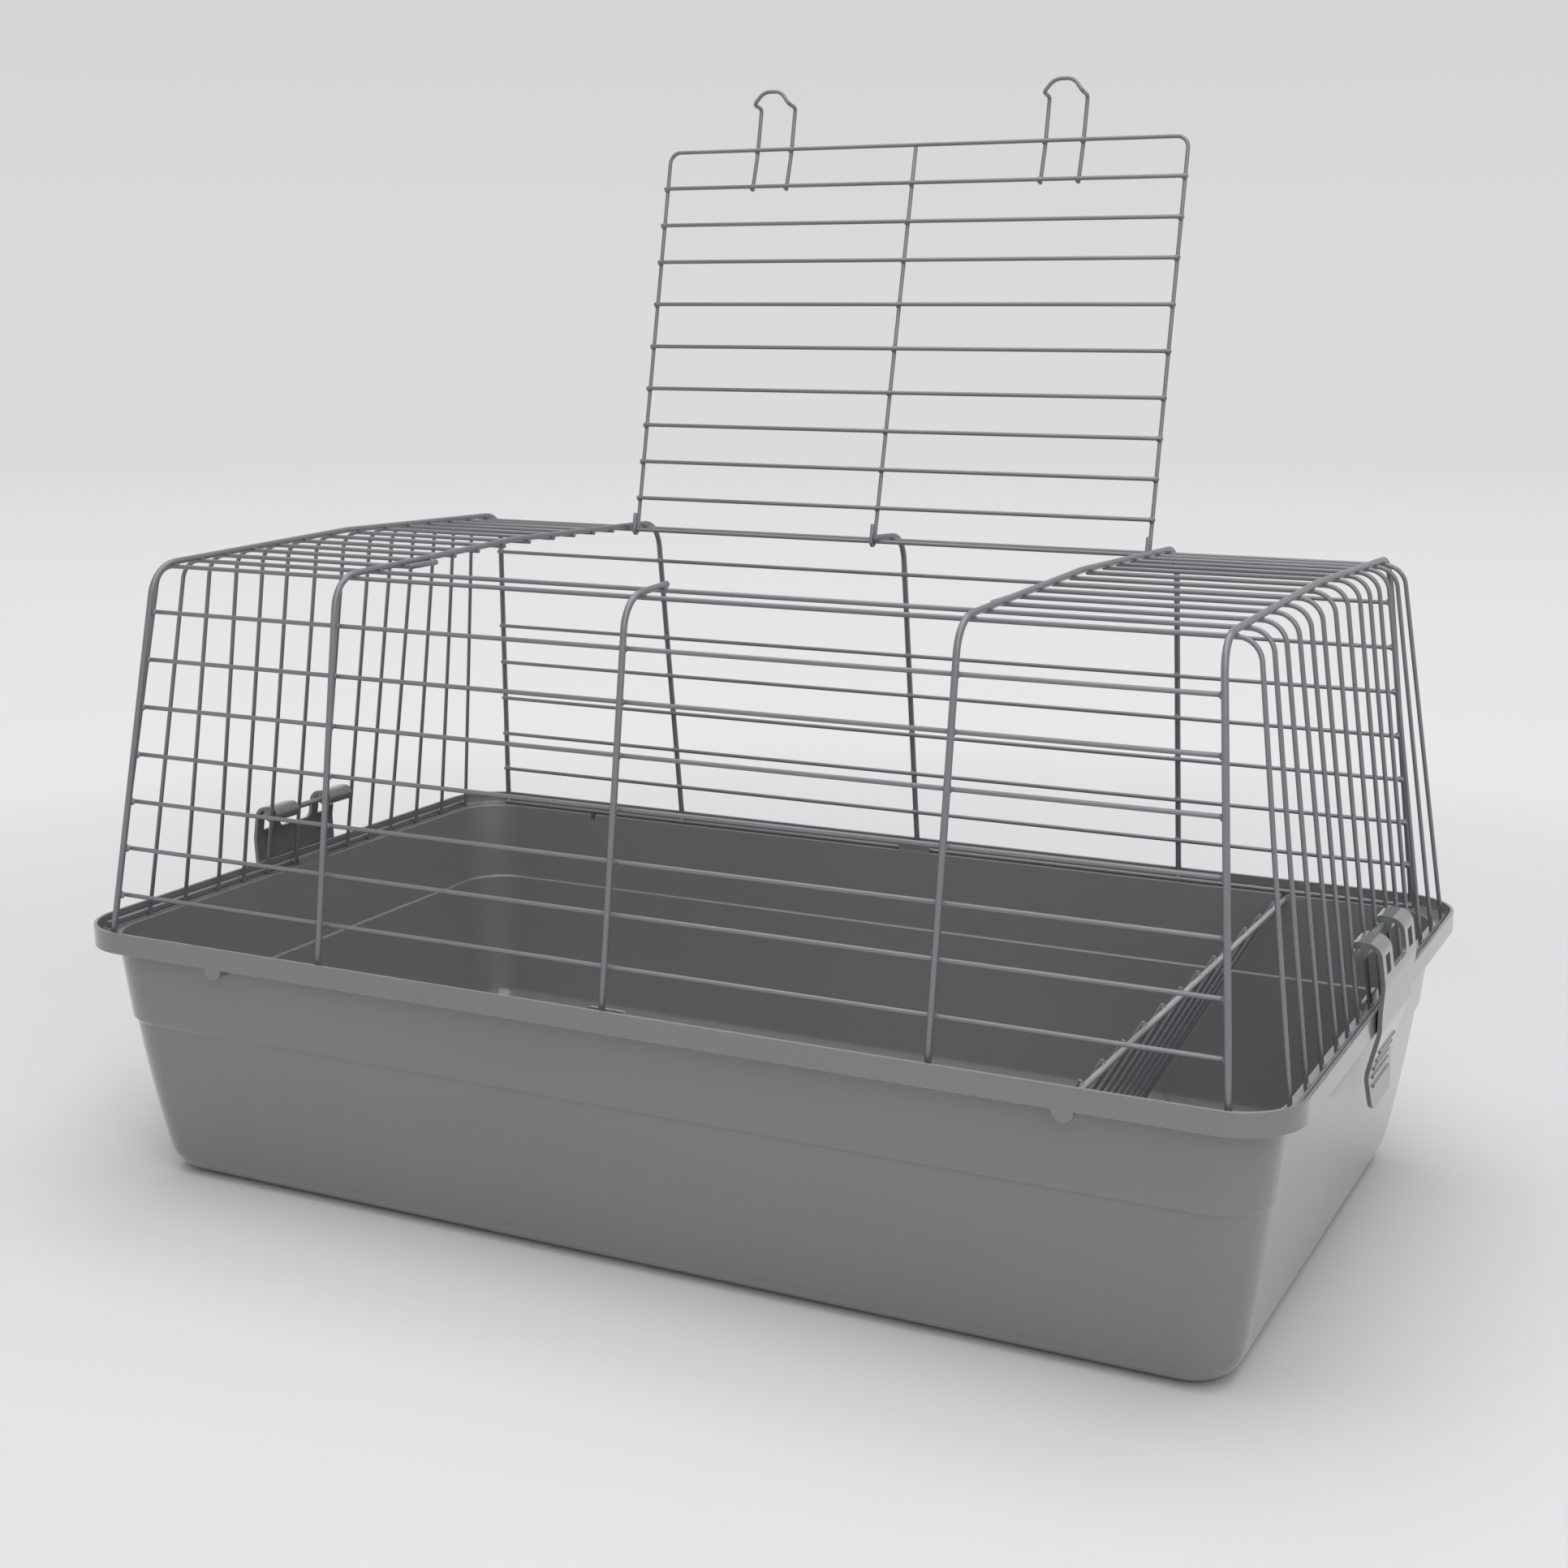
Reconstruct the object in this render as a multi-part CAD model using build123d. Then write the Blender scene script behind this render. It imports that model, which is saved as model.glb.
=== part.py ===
from build123d import *
import math
import os

# Small-animal cage: a deep moulded tray with a bent and spot-welded wire top, a roof door hooked
# onto a rail of the top, two snap latches on the ends and a leaning wire rack in the tray.
# Millimetres. X runs along the length, Y from front to back, Z up. The origin is the middle of the
# tray's underside.

# Wire stock and joints. Wires that nothing turns on are drawn six-sided, with a flat where they
# are welded.
HOOP_D = 4.0
WIRE_D = 2.8
REST_D = 3.6
WIRE_SIDES = 6
WELD_GAP = 0.05
HINGE_CLEARANCE = 0.1

# Tray, insets measured inwards from the rim's outer edge
RIM_LENGTH = 800.0
RIM_DEPTH = 474.0
RIM_CORNER = 40.0
CORNER_TAPER = 0.4
LIP_TOP = 175.0
LEDGE_TOP = 167.0
SKIRT_BOTTOM = 161.0
LIP_THICKNESS = 2.3
LEDGE_THICKNESS = 2.5
WALL = 2.5
FLOOR = 3.0
LEDGE_INSET = 11.5
STEP_UPPER_Z = 111.0
STEP_UPPER_INSET = 17.0
STEP_LOWER_Z = 109.0
STEP_LOWER_INSET = 19.0
BOW_LEAN = 0.108
BOW_BANDS = 3
FOOT_INSET = 40.3
FOOT_ROUND = 12.0
FOOT_BANDS = 3
FOOT_CHAMFER = 4.0
LIP_CHAMFER = 0.7
TONGUE_HEIGHT = 5.5
TONGUE_THICKNESS = 2.3
TONGUE_ROOT = 1.0
TONGUE_ROUND = 2.0
SIDE_TONGUE_WIDTH = 25.0
END_TONGUE_WIDTH = 32.0

# Rack seats in the long rims
SEAT_END_GAP = 119.0
SEAT_Z = 163.0
SEAT_LUG_R = 6.3
SEAT_LUG_DROP = 2.4
SEAT_END_INSET = 4.6

# Hoops
BAY_X = 202.8
HOOP_FOOT_INSET = 6.0
BEND_R = 22.0
CROWN_TOP = 413.2
CROWN_RISE = 5.63
SHOULDER_INSET = 40.7
END_HOOP_INSET = 32.9
END_HOOP_LEAN = 0.091
MIDDLE_STUB = 4.0

# Rows along the front and back
ROW_COUNT = 7
ROW_FIRST = 29.0
ROW_PITCH = 30.2
ROW_STUB = 0.8

# Wires over the roof and down the ends
CENTRE_PITCH = 31.0
RAIL_GAP = 25.0
RAIL_INSET = 84.5
EDGE_INSET = 60.0
END_FOOT_INSET = 8.4
END_LEAN = 0.138
END_BEND_R = 14.0
SPLAY_SHARE = 0.4
SPLAY_START = 42.5
ROOF_STUB = 2.6
FOOT_WIRE_Z = 170.0
FOOT_WIRE_STUB = 3.0
LATCH_BAR_Z = 210.5
LATCH_BAR_STUB = 4.0

# Roof door
DOOR_SIDE_GAP = 6.6
DOOR_ROW_SHIFT = 1.4
DOOR_CENTRE_X = -4.0
DOOR_CENTRE_SKEW = 4.0
DOOR_CORNER_R = 8.0
DOOR_OPEN = 101.8
HOOK_TAIL = 12.0
LOOP_X = 110.3
LOOP_SHIFT = -1.8
LOOP_WIDTH = 27.2
LOOP_JOG = 11.8
LOOP_PAST_RAIL = 3.8
LOOP_TIP = 9.0
LOOP_TIP_TAPER = 6.8
LOOP_TIP_R = 10.0
LOOP_BEND = 2.6
LOOP_EASE_R = 30.0
REST_OFFSET = 6.4
REST_STUB = 3.5
REST_GAP = 0.5

# End latches, measured from the latch bar: u outwards, w up
LATCH_STRAP = 2.6
LATCH_KNUCKLE_R = 5.6
LATCH_WIDTH = 88.0
LATCH_GAP = 1.1
LATCH_SNAP = 3.4
LATCH_TIP_WIDTH = 50.0
LATCH_WAIST_W = -36.0
LATCH_TIP_W = -101.0
LATCH_LIP_GAP = 1.0
LATCH_BULGE = 1.4
LATCH_TUCK = 8.0
LATCH_TUCK_HEIGHT = 30.0
LATCH_TUCK_ABOVE = 1.0
LATCH_TIP_FLARE = 2.4
LATCH_SHOULDER_SET = 2.0
LATCH_SHOULDER_DROP = 1.2
LATCH_SHOULDER_R = 8.0
LATCH_BEND_R = 25.0
LATCH_BULGE_UP = 16.0
LATCH_TIP_CORNER = 10.0
LATCH_WINDOW_CORNER = 4.0
LATCH_CATCH_GAP = 0.5
LATCH_CATCH_REACH = 2.3
LATCH_CATCH_HEIGHT = 7.0
LATCH_SLOT = 11.0
LATCH_SLOT_TOP = -3.0
LATCH_SLOT_BOTTOM = -14.0
LATCH_WINDOW_FLOOR = -15.0
GRIP_COUNT = 5
GRIP_PITCH = 5.5
GRIP_R = 1.2
GRIP_START = 14.0
GRIP_MARGIN = 4.0

# Leaning rack
RACK_LEAN = 28.5
RACK_WIRES_A_SIDE = 5
RACK_TOP_INSET = 34.6
RACK_FOOT_GAP = 16.7
RACK_STUB = 2.5
RACK_FLOOR_GAP = 0.5
RAIL_END_GAP = 0.5

HALF_LENGTH = RIM_LENGTH / 2
HALF_DEPTH = RIM_DEPTH / 2
SEAT_X = HALF_LENGTH - SEAT_END_GAP
CROWN_HALF_SPAN = HALF_DEPTH - SHOULDER_INSET
RAIL_Y = HALF_DEPTH - RAIL_INSET
EDGE_Y = HALF_DEPTH - EDGE_INSET
SIDE_PITCH = (RAIL_Y - RAIL_GAP - CENTRE_PITCH * 3 / 2) / 3
SPLAY_FROM = RAIL_Y - SPLAY_START
HOOP_R = HOOP_D / 2
WIRE_R = WIRE_D / 2
REST_R = REST_D / 2
FLAT_SHARE = math.cos(math.pi / WIRE_SIDES)
HOOP_TO_WIRE = HOOP_R * FLAT_SHARE + WIRE_R + WELD_GAP
BAR_TO_WIRE = HOOP_R + WIRE_R * FLAT_SHARE + WELD_GAP
WIRE_TO_WIRE = WIRE_R * FLAT_SHARE + WIRE_R + WELD_GAP
SHOULDER_Z = CROWN_TOP - CROWN_RISE
SIDE_LEAN = (HALF_DEPTH - HOOP_FOOT_INSET - CROWN_HALF_SPAN) / (SHOULDER_Z - LEDGE_TOP)
HOOP_FOOT_Z = LEDGE_TOP + WELD_GAP + HOOP_R * (SIDE_LEAN + END_HOOP_LEAN)
SPLAY_LEAN = SPLAY_SHARE * (EDGE_Y - SPLAY_FROM) / (SHOULDER_Z - LEDGE_TOP)
WIRE_FOOT_Z = LEDGE_TOP + WELD_GAP + WIRE_R * (END_LEAN + SPLAY_LEAN)
SIDE_COS = math.cos(math.atan(SIDE_LEAN))
END_COS = math.cos(math.atan(END_LEAN))
CROWN_R = (CROWN_HALF_SPAN**2 + CROWN_RISE**2) / (2 * CROWN_RISE)


def roof_z(y):
    """Height of a hoop's centre line over the crowned roof."""
    return CROWN_TOP - CROWN_R + math.sqrt(CROWN_R**2 - y**2)


def roof_wire_z(y):
    return roof_z(y) - HOOP_TO_WIRE


def leg_y(z):
    """Distance of a leaning hoop leg from the middle plane."""
    return HALF_DEPTH - HOOP_FOOT_INSET - SIDE_LEAN * (z - LEDGE_TOP)


def row_y(z):
    return leg_y(z) - HOOP_TO_WIRE / SIDE_COS


def end_hoop_x(z):
    return HALF_LENGTH - END_HOOP_INSET - END_HOOP_LEAN * (z - LEDGE_TOP)


def end_wire_x(z):
    """Distance of the end wires from the middle, leaning in as they rise."""
    return HALF_LENGTH - END_FOOT_INSET - END_LEAN * (z - LEDGE_TOP)


def splayed_y(y):
    """Where an end wire's foot stands: the outer wires splay towards the tray's corners."""
    past = max(0, abs(y) - SPLAY_FROM)
    return math.copysign(abs(y) + SPLAY_SHARE * past, y)


def round_rod(start, end, diameter):
    axis = Vector(*end) - Vector(*start)
    return Solid.make_cylinder(diameter / 2, axis.length, Plane(Vector(*start), z_dir=axis))


def wire_section(start, heading, across, diameter):
    """Wire cross-section with corners to both sides and flats above and below."""
    sideways = across - heading * across.dot(heading)
    plane = Plane(start, x_dir=sideways, z_dir=heading)
    return plane * RegularPolygon(diameter / 2, WIRE_SIDES)


def rod(start, end, diameter, across):
    axis = Vector(*end) - Vector(*start)
    section = wire_section(Vector(*start), axis.normalized(), Vector(*across), diameter)
    return extrude(section, axis.length).solid()


def bent_path(points, radii):
    """Straight runs joined by tangent bends, one radius for each inner point."""
    corners = [Vector(*p) for p in points]
    edges = []
    last = corners[0]
    for before, corner, after, radius in zip(corners, corners[1:], corners[2:], radii):
        entry = (corner - before).normalized()
        leave = (after - corner).normalized()
        half = math.radians(entry.get_angle(leave)) / 2
        begin = corner - entry * (radius * math.tan(half))
        finish = corner + leave * (radius * math.tan(half))
        middle = corner + (leave - entry).normalized() * (radius / math.cos(half) - radius)
        edges.append(Edge.make_line(last, begin))
        edges.append(Edge.make_three_point_arc(begin, middle, finish))
        last = finish
    edges.append(Edge.make_line(last, corners[-1]))
    return Wire(edges)


def swept(path, diameter, across):
    return sweep(wire_section(path @ 0, path % 0, across, diameter), path=path).solid()


def bent_wire(points, radii, diameter, across):
    return swept(bent_path(points, radii), diameter, Vector(*across))


def mirror_x(shape):
    return mirror(shape, about=Plane.YZ)


def rim_plan(inset, z):
    """Rounded rectangle parallel to the rim, its corners tightening as it shrinks."""
    corner = RIM_CORNER - CORNER_TAPER * inset
    return Pos(0, 0, z) * RectangleRounded(RIM_LENGTH - 2 * inset, RIM_DEPTH - 2 * inset, corner)


def rim_band(inset, low, high):
    """Upright prism whose corners stay concentric with the rim."""
    corner = RIM_CORNER - inset
    plan = RectangleRounded(RIM_LENGTH - 2 * inset, RIM_DEPTH - 2 * inset, corner)
    return extrude(Pos(0, 0, low) * plan, high - low)


# Tray: straight bands lofted from level to level, so that the wall bows in from the step to the foot
# and rounds under, the same one wall thickness further in for the hollow, and a channel-shaped rim
# round the top.
BOW = FOOT_INSET - STEP_LOWER_INSET - BOW_LEAN * STEP_LOWER_Z
FOOT_TURN = math.pi / 2 - math.atan(BOW_LEAN + 2 * BOW / STEP_LOWER_Z)
FOOT_EDGE_INSET = FOOT_INSET + FOOT_ROUND * math.tan(FOOT_TURN / 2)


def bowed_inset(z):
    """The wall leaves the step at a slight lean and curves in more and more towards the foot."""
    down = STEP_LOWER_Z - z
    return STEP_LOWER_INSET + BOW_LEAN * down + BOW * (down / STEP_LOWER_Z) ** 2


def shell(levels):
    return loft([rim_plan(inset, z) for z, inset in levels], ruled=True)


def foot_levels():
    """The rounding under the wall, from the flat underside up to where it meets the bow."""
    turns = [FOOT_TURN * i / FOOT_BANDS for i in range(FOOT_BANDS + 1)]
    return [(FOOT_ROUND * (1 - math.cos(t)), FOOT_EDGE_INSET - FOOT_ROUND * math.sin(t)) for t in turns]


def bow_levels(low, wall):
    heights = [low + (STEP_LOWER_Z - low) * i / BOW_BANDS for i in range(BOW_BANDS + 1)]
    return [(z, bowed_inset(z) + wall) for z in heights]


def step_levels(top, wall):
    return [(STEP_UPPER_Z, STEP_UPPER_INSET + wall), (top, LEDGE_INSET + wall)]


foot = foot_levels()
outer = shell(foot + bow_levels(foot[-1][0], 0)[1:] + step_levels(LEDGE_TOP, 0))
hollow_foot = FLOOR + FOOT_CHAMFER
hollow_floor = (FLOOR, bowed_inset(hollow_foot) + WALL + FOOT_CHAMFER)
hollow = shell([hollow_floor] + bow_levels(hollow_foot, WALL) + step_levels(LEDGE_TOP + FLOOR, WALL))
rim = rim_band(0, SKIRT_BOTTOM, LIP_TOP)
rim -= rim_band(LIP_THICKNESS, LEDGE_TOP, LIP_TOP)
rim -= rim_band(LIP_THICKNESS, SKIRT_BOTTOM, LEDGE_TOP - LEDGE_THICKNESS)
rim = chamfer(rim.edges().group_by(Axis.Z)[-1], LIP_CHAMFER)
tray = outer + rim

# Round-ended lugs that hang below the skirt carry the rack rail; both ends of the cage have a pair.
LUG_INNER_Y = HALF_DEPTH - LEDGE_INSET - WALL / 2
LUG_Z = SEAT_Z - SEAT_LUG_DROP
for side in (-1, 1):
    for seat_x in (-SEAT_X, SEAT_X):
        near = (seat_x, side * LUG_INNER_Y, LUG_Z)
        far = (seat_x, side * HALF_DEPTH, LUG_Z)
        tray += round_rod(near, far, 2 * SEAT_LUG_R)
tray -= hollow
for side in (-1, 1):
    side_tongue = Box(SIDE_TONGUE_WIDTH, TONGUE_THICKNESS, TONGUE_HEIGHT + TONGUE_ROOT)
    side_tongue = fillet(side_tongue.edges().filter_by(Axis.Y).group_by(Axis.Z)[-1], TONGUE_ROUND)
    tongue_y = side * (HALF_DEPTH - LEDGE_INSET - WALL + TONGUE_THICKNESS / 2)
    tongue_z = LEDGE_TOP + (TONGUE_HEIGHT - TONGUE_ROOT) / 2
    tray += Pos(0, tongue_y, tongue_z) * side_tongue
    end_tongue = Box(TONGUE_THICKNESS, END_TONGUE_WIDTH, TONGUE_HEIGHT + TONGUE_ROOT)
    end_tongue = fillet(end_tongue.edges().filter_by(Axis.X).group_by(Axis.Z)[-1], TONGUE_ROUND)
    tongue_x = side * (HALF_LENGTH - LEDGE_INSET - WALL + TONGUE_THICKNESS / 2)
    tray += Pos(tongue_x, 0, tongue_z) * end_tongue
seat_r = HOOP_R + HINGE_CLEARANCE
for side in (-1, 1):
    for seat_x in (-SEAT_X, SEAT_X):
        inner = side * (HALF_DEPTH - 2 * LEDGE_INSET)
        stop = side * (HALF_DEPTH - SEAT_END_INSET)
        tray -= round_rod((seat_x, inner, SEAT_Z), (seat_x, stop, SEAT_Z), 2 * seat_r)
        throat = Box(2 * seat_r, abs(stop - inner), LIP_TOP - SEAT_Z)
        tray -= Pos(seat_x, (inner + stop) / 2, (LIP_TOP + SEAT_Z) / 2) * throat
tray = tray.solid()


# Hoops: two leaning legs, tangent bends and a crowned roof, swept along one filleted path.
def hoop_wire(plane, stretch, left_y, right_y):
    """Hoop in a leaning plane; a limit inside the roof span cuts the hoop off there."""
    foot_y = leg_y(HOOP_FOOT_Z)
    shoulder = roof_z(CROWN_HALF_SPAN)
    ends = []
    legs = []
    for limit, side in ((left_y, -1), (right_y, 1)):
        whole = limit is None
        at = side * CROWN_HALF_SPAN if whole else limit
        ends.append((at, (roof_z(at) - HOOP_FOOT_Z) * stretch))
        if whole:
            legs.append(((side * foot_y, 0), (at, (shoulder - HOOP_FOOT_Z) * stretch)))
    middle_y = (ends[0][0] + ends[1][0]) / 2
    middle = (middle_y, (roof_z(middle_y) - HOOP_FOOT_Z) * stretch)
    edges = [Edge.make_three_point_arc(Vector(*ends[0]), Vector(*middle), Vector(*ends[1]))]
    for foot, top in legs:
        edges.append(Edge.make_line(Vector(*foot), Vector(*top)))
    path = Wire(edges)
    shoulders = [v for v in path.vertices() if abs(abs(v.X) - CROWN_HALF_SPAN) < 0.01]
    path = plane * path.fillet_2d(BEND_R, shoulders)
    return swept(path, HOOP_D, plane.z_dir)


def hoop_plane(x, lean):
    return Plane((x, 0, HOOP_FOOT_Z), x_dir=(0, 1, 0), z_dir=(1, 0, lean))


hoop_right = hoop_wire(hoop_plane(BAY_X, 0), 1, None, None)
hoop_left = mirror_x(hoop_right)
end_stretch = math.sqrt(1 + END_HOOP_LEAN**2)
hoop_far_right = hoop_wire(hoop_plane(end_hoop_x(HOOP_FOOT_Z), END_HOOP_LEAN), end_stretch, None, None)
hoop_far_left = mirror_x(hoop_far_right)
stub_y = RAIL_Y - MIDDLE_STUB
middle_front_upright = hoop_wire(hoop_plane(0, 0), 1, None, -stub_y)
middle_rear_upright = hoop_wire(hoop_plane(0, 0), 1, stub_y, None)

# Rows: level wires inside the legs, the lowest lying on the tray's ledge.
bottom_row_z = LEDGE_TOP + WELD_GAP + WIRE_R


def row(z, side):
    reach = end_hoop_x(z) + ROW_STUB
    return rod((-reach, side * row_y(z), z), (reach, side * row_y(z), z), WIRE_D, (0, 0, 1))


row_heights = [bottom_row_z + ROW_FIRST + ROW_PITCH * i for i in range(ROW_COUNT)]
front_rows = [row(z, -1) for z in row_heights]
rear_rows = [row(z, 1) for z in row_heights]
front_bottom_wire = row(bottom_row_z, -1)
rear_bottom_wire = row(bottom_row_z, 1)

# Roof wires: under the hoops, over the ends and down to the ledge. The door bay interrupts the
# inner ones; the two at each long edge run from end to end.
inner_offsets = [CENTRE_PITCH / 2, CENTRE_PITCH * 3 / 2]
while len(inner_offsets) < 5:
    inner_offsets.append(inner_offsets[-1] + SIDE_PITCH)
inner_ys = [-y for y in reversed(inner_offsets)] + inner_offsets


def end_to_end_path(y):
    top = roof_wire_z(y)
    foot = (end_wire_x(WIRE_FOOT_Z), splayed_y(y), WIRE_FOOT_Z)
    corner = (end_wire_x(top), y, top)
    points = [(-foot[0], foot[1], foot[2]), (-corner[0], y, top), corner, foot]
    return bent_path(points, [END_BEND_R, END_BEND_R])


def splay_across(y):
    """Square to the plane that a roof wire and its two legs lie in."""
    return Vector(0, roof_wire_z(y) - WIRE_FOOT_Z, splayed_y(y) - y)


rest_x = BAY_X - REST_OFFSET
rest_end_x = rest_x + REST_R + WELD_GAP


def right_roof_wire(y, end_x):
    top = roof_wire_z(y)
    foot = (end_wire_x(WIRE_FOOT_Z), splayed_y(y), WIRE_FOOT_Z)
    points = [(end_x, y, top), (end_wire_x(top), y, top), foot]
    return swept(bent_path(points, [END_BEND_R]), WIRE_D, splay_across(y))


rest_ys = inner_ys[:2]
right_roof_wires = []
for y in inner_ys:
    right_roof_wires.append(right_roof_wire(y, rest_end_x if y in rest_ys else BAY_X - ROOF_STUB))
left_roof_wires = [mirror_x(w) for w in right_roof_wires]
front_edge_wire = swept(end_to_end_path(-EDGE_Y), WIRE_D, splay_across(-EDGE_Y))
front_rail = swept(end_to_end_path(-RAIL_Y), WIRE_D, splay_across(-RAIL_Y))
rear_edge_wire = swept(end_to_end_path(EDGE_Y), WIRE_D, splay_across(EDGE_Y))
hinge_z = roof_wire_z(RAIL_Y)
journal = round_rod((-BAY_X, RAIL_Y, hinge_z), (BAY_X, RAIL_Y, hinge_z), WIRE_D)
hinge_rail = swept(end_to_end_path(RAIL_Y), WIRE_D - WELD_GAP, splay_across(RAIL_Y)) + journal
hinge_rail = hinge_rail.solid()

foot_x = end_wire_x(FOOT_WIRE_Z) + WIRE_TO_WIRE / END_COS
foot_y = splayed_y(EDGE_Y) + FOOT_WIRE_STUB
right_foot_wire = rod((foot_x, -foot_y, FOOT_WIRE_Z), (foot_x, foot_y, FOOT_WIRE_Z), WIRE_D, (0, 0, 1))
left_foot_wire = mirror_x(right_foot_wire)
bar_x = end_wire_x(LATCH_BAR_Z) + BAR_TO_WIRE / END_COS
bar_y = inner_offsets[1] + LATCH_BAR_STUB
right_latch_bar = round_rod((bar_x, -bar_y, LATCH_BAR_Z), (bar_x, bar_y, LATCH_BAR_Z), HOOP_D)
left_latch_bar = mirror_x(right_latch_bar)

# Door: modelled flat and closed with the rail's axis as its X axis, then swung open.
door_place = Pos(0, RAIL_Y, hinge_z) * Rot(X=-DOOR_OPEN)
side_x = BAY_X - DOOR_SIDE_GAP
hook_r = WIRE_R + HINGE_CLEARANCE + WIRE_R * FLAT_SHARE
row_reaches = [RAIL_Y - y - DOOR_ROW_SHIFT for y in inner_ys]
front_reach = row_reaches[0]
row_reaches = row_reaches[1:]


def hook_edges(x):
    """Tail, half turn round the rail and the start of the straight run, in that order."""
    tail = Edge.make_line(Vector(x, -HOOK_TAIL, -hook_r), Vector(x, 0, -hook_r))
    turn = [Vector(x, 0, -hook_r), Vector(x, hook_r, 0), Vector(x, 0, hook_r)]
    turn = Edge.make_three_point_arc(*turn)
    return [tail, turn]


frame_points = [
    (-side_x, 0, hook_r),
    (-side_x, -front_reach, hook_r),
    (side_x, -front_reach, hook_r),
    (side_x, 0, hook_r),
]
frame_run = bent_path(frame_points, [DOOR_CORNER_R, DOOR_CORNER_R])
frame_path = Wire(hook_edges(-side_x) + list(frame_run.edges()) + hook_edges(side_x))
door_frame = door_place * swept(frame_path, WIRE_D, Vector(1, 0, 0))
centre_end = front_reach - WIRE_D - WELD_GAP
centre_run = Edge.make_line(Vector(0, 0, hook_r), Vector(0, -centre_end, hook_r))
centre_path = Wire(hook_edges(0) + [centre_run])
centre_turn = math.degrees(math.atan(DOOR_CENTRE_SKEW / centre_end))
centre_place = door_place * Pos(DOOR_CENTRE_X, 0, 0) * Rot(Z=centre_turn)
door_centre_wire = centre_place * swept(centre_path, WIRE_D, Vector(1, 0, 0))
door_row_z = hook_r - WIRE_TO_WIRE
door_rows = []
for reach in row_reaches:
    ends = [(side * (side_x + WIRE_R), -reach, door_row_z) for side in (-1, 1)]
    door_rows.append(door_place * rod(ends[0], ends[1], WIRE_D, (0, 1, 0)))

# Spring loops: each leg climbs from the last row over the front wire, passes above the front rail
# and drops in front of it into a round tip.
leg_low = hook_r
leg_high = hook_r + WIRE_TO_WIRE
tip_low = leg_high - LOOP_JOG
drop = RAIL_Y * 2 + LOOP_PAST_RAIL
tip = drop + LOOP_TIP
last_row = max(row_reaches)
level_from = front_reach - WIRE_D
leg_slope = (leg_high - leg_low) / (level_from - last_row)


def loop_leg(x, taper):
    return [
        (x, -(last_row - WIRE_D), leg_low - leg_slope * WIRE_D),
        (x, -level_from, leg_high),
        (x, -drop, leg_high),
        (x, -drop, tip_low),
        (x + taper, -tip, tip_low),
    ]


def door_loop(x):
    near_leg = loop_leg(x - LOOP_WIDTH / 2, LOOP_TIP_TAPER)
    far_leg = loop_leg(x + LOOP_WIDTH / 2, -LOOP_TIP_TAPER)
    points = near_leg + list(reversed(far_leg))
    leg_radii = [LOOP_EASE_R, LOOP_BEND, LOOP_BEND, LOOP_TIP_R]
    radii = leg_radii + list(reversed(leg_radii))
    return door_place * bent_wire(points, radii, WIRE_D, (1, 0, 0))


left_door_loop = door_loop(LOOP_SHIFT - LOOP_X)
right_door_loop = door_loop(LOOP_SHIFT + LOOP_X)

rest_z = (roof_wire_z(rest_ys[0]) + roof_wire_z(rest_ys[1])) / 2
rest_rear = RAIL_Y - last_row - WIRE_R - REST_GAP
rest_front = inner_ys[0] - REST_STUB
right_door_rest = rod((rest_x, rest_front, rest_z), (rest_x, rest_rear, rest_z), REST_D, (0, 0, 1))
left_door_rest = mirror_x(right_door_rest)

# Latch: a bent strap cut to its outline, two snap knuckles on the bar, a catch that goes under the
# rim's skirt and grip ribs on the finger tab.
lip_u = HALF_LENGTH - bar_x
skirt_w = SKIRT_BOTTOM - LATCH_BAR_Z
strap_half = LATCH_STRAP / 2
strap_u = lip_u + LATCH_LIP_GAP + strap_half
tuck_w = skirt_w + LATCH_TUCK_ABOVE
strap_points = [
    (0, 0, LATCH_KNUCKLE_R - strap_half),
    (strap_u - LATCH_SHOULDER_SET, 0, LATCH_KNUCKLE_R - strap_half - LATCH_SHOULDER_DROP),
    (strap_u + LATCH_BULGE, 0, LIP_TOP - LATCH_BAR_Z + LATCH_BULGE_UP),
    (strap_u, 0, tuck_w),
    (strap_u - LATCH_TUCK, 0, tuck_w - LATCH_TUCK_HEIGHT),
    (strap_u - LATCH_TUCK + LATCH_TIP_FLARE, 0, LATCH_TIP_W),
]
strap_path = bent_path(strap_points, [LATCH_SHOULDER_R, LATCH_BEND_R, LATCH_BEND_R, LATCH_BEND_R])
strap_plane = Plane(strap_path @ 0, x_dir=(0, 1, 0), z_dir=strap_path % 0)
strap = sweep(strap_plane * Rectangle(LATCH_WIDTH, LATCH_STRAP), path=strap_path).solid()
outline_points = [
    (-LATCH_WIDTH / 2, 2 * LATCH_KNUCKLE_R),
    (-LATCH_WIDTH / 2, LATCH_WAIST_W),
    (-LATCH_TIP_WIDTH / 2, LATCH_TIP_W),
    (LATCH_TIP_WIDTH / 2, LATCH_TIP_W),
    (LATCH_WIDTH / 2, LATCH_WAIST_W),
    (LATCH_WIDTH / 2, 2 * LATCH_KNUCKLE_R),
]
outline = make_face(Polyline(*outline_points, close=True))
low_corners = outline.vertices().group_by(Axis.Y)[0]
outline = fillet(low_corners, LATCH_TIP_CORNER)
strap = strap & extrude(Plane.YZ * outline, LATCH_WIDTH, both=True)
knuckle_in = CENTRE_PITCH / 2 + WIRE_R + LATCH_GAP
knuckle_out = LATCH_WIDTH / 2
window_height = 2 * (LATCH_KNUCKLE_R - LATCH_WINDOW_FLOOR)
window = RectangleRounded(2 * knuckle_in, window_height, LATCH_WINDOW_CORNER)
window = Plane.YZ * (Pos(0, LATCH_WINDOW_FLOOR + window_height / 2) * window)
strap -= extrude(window, LATCH_WIDTH, both=True)
latch = strap
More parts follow.
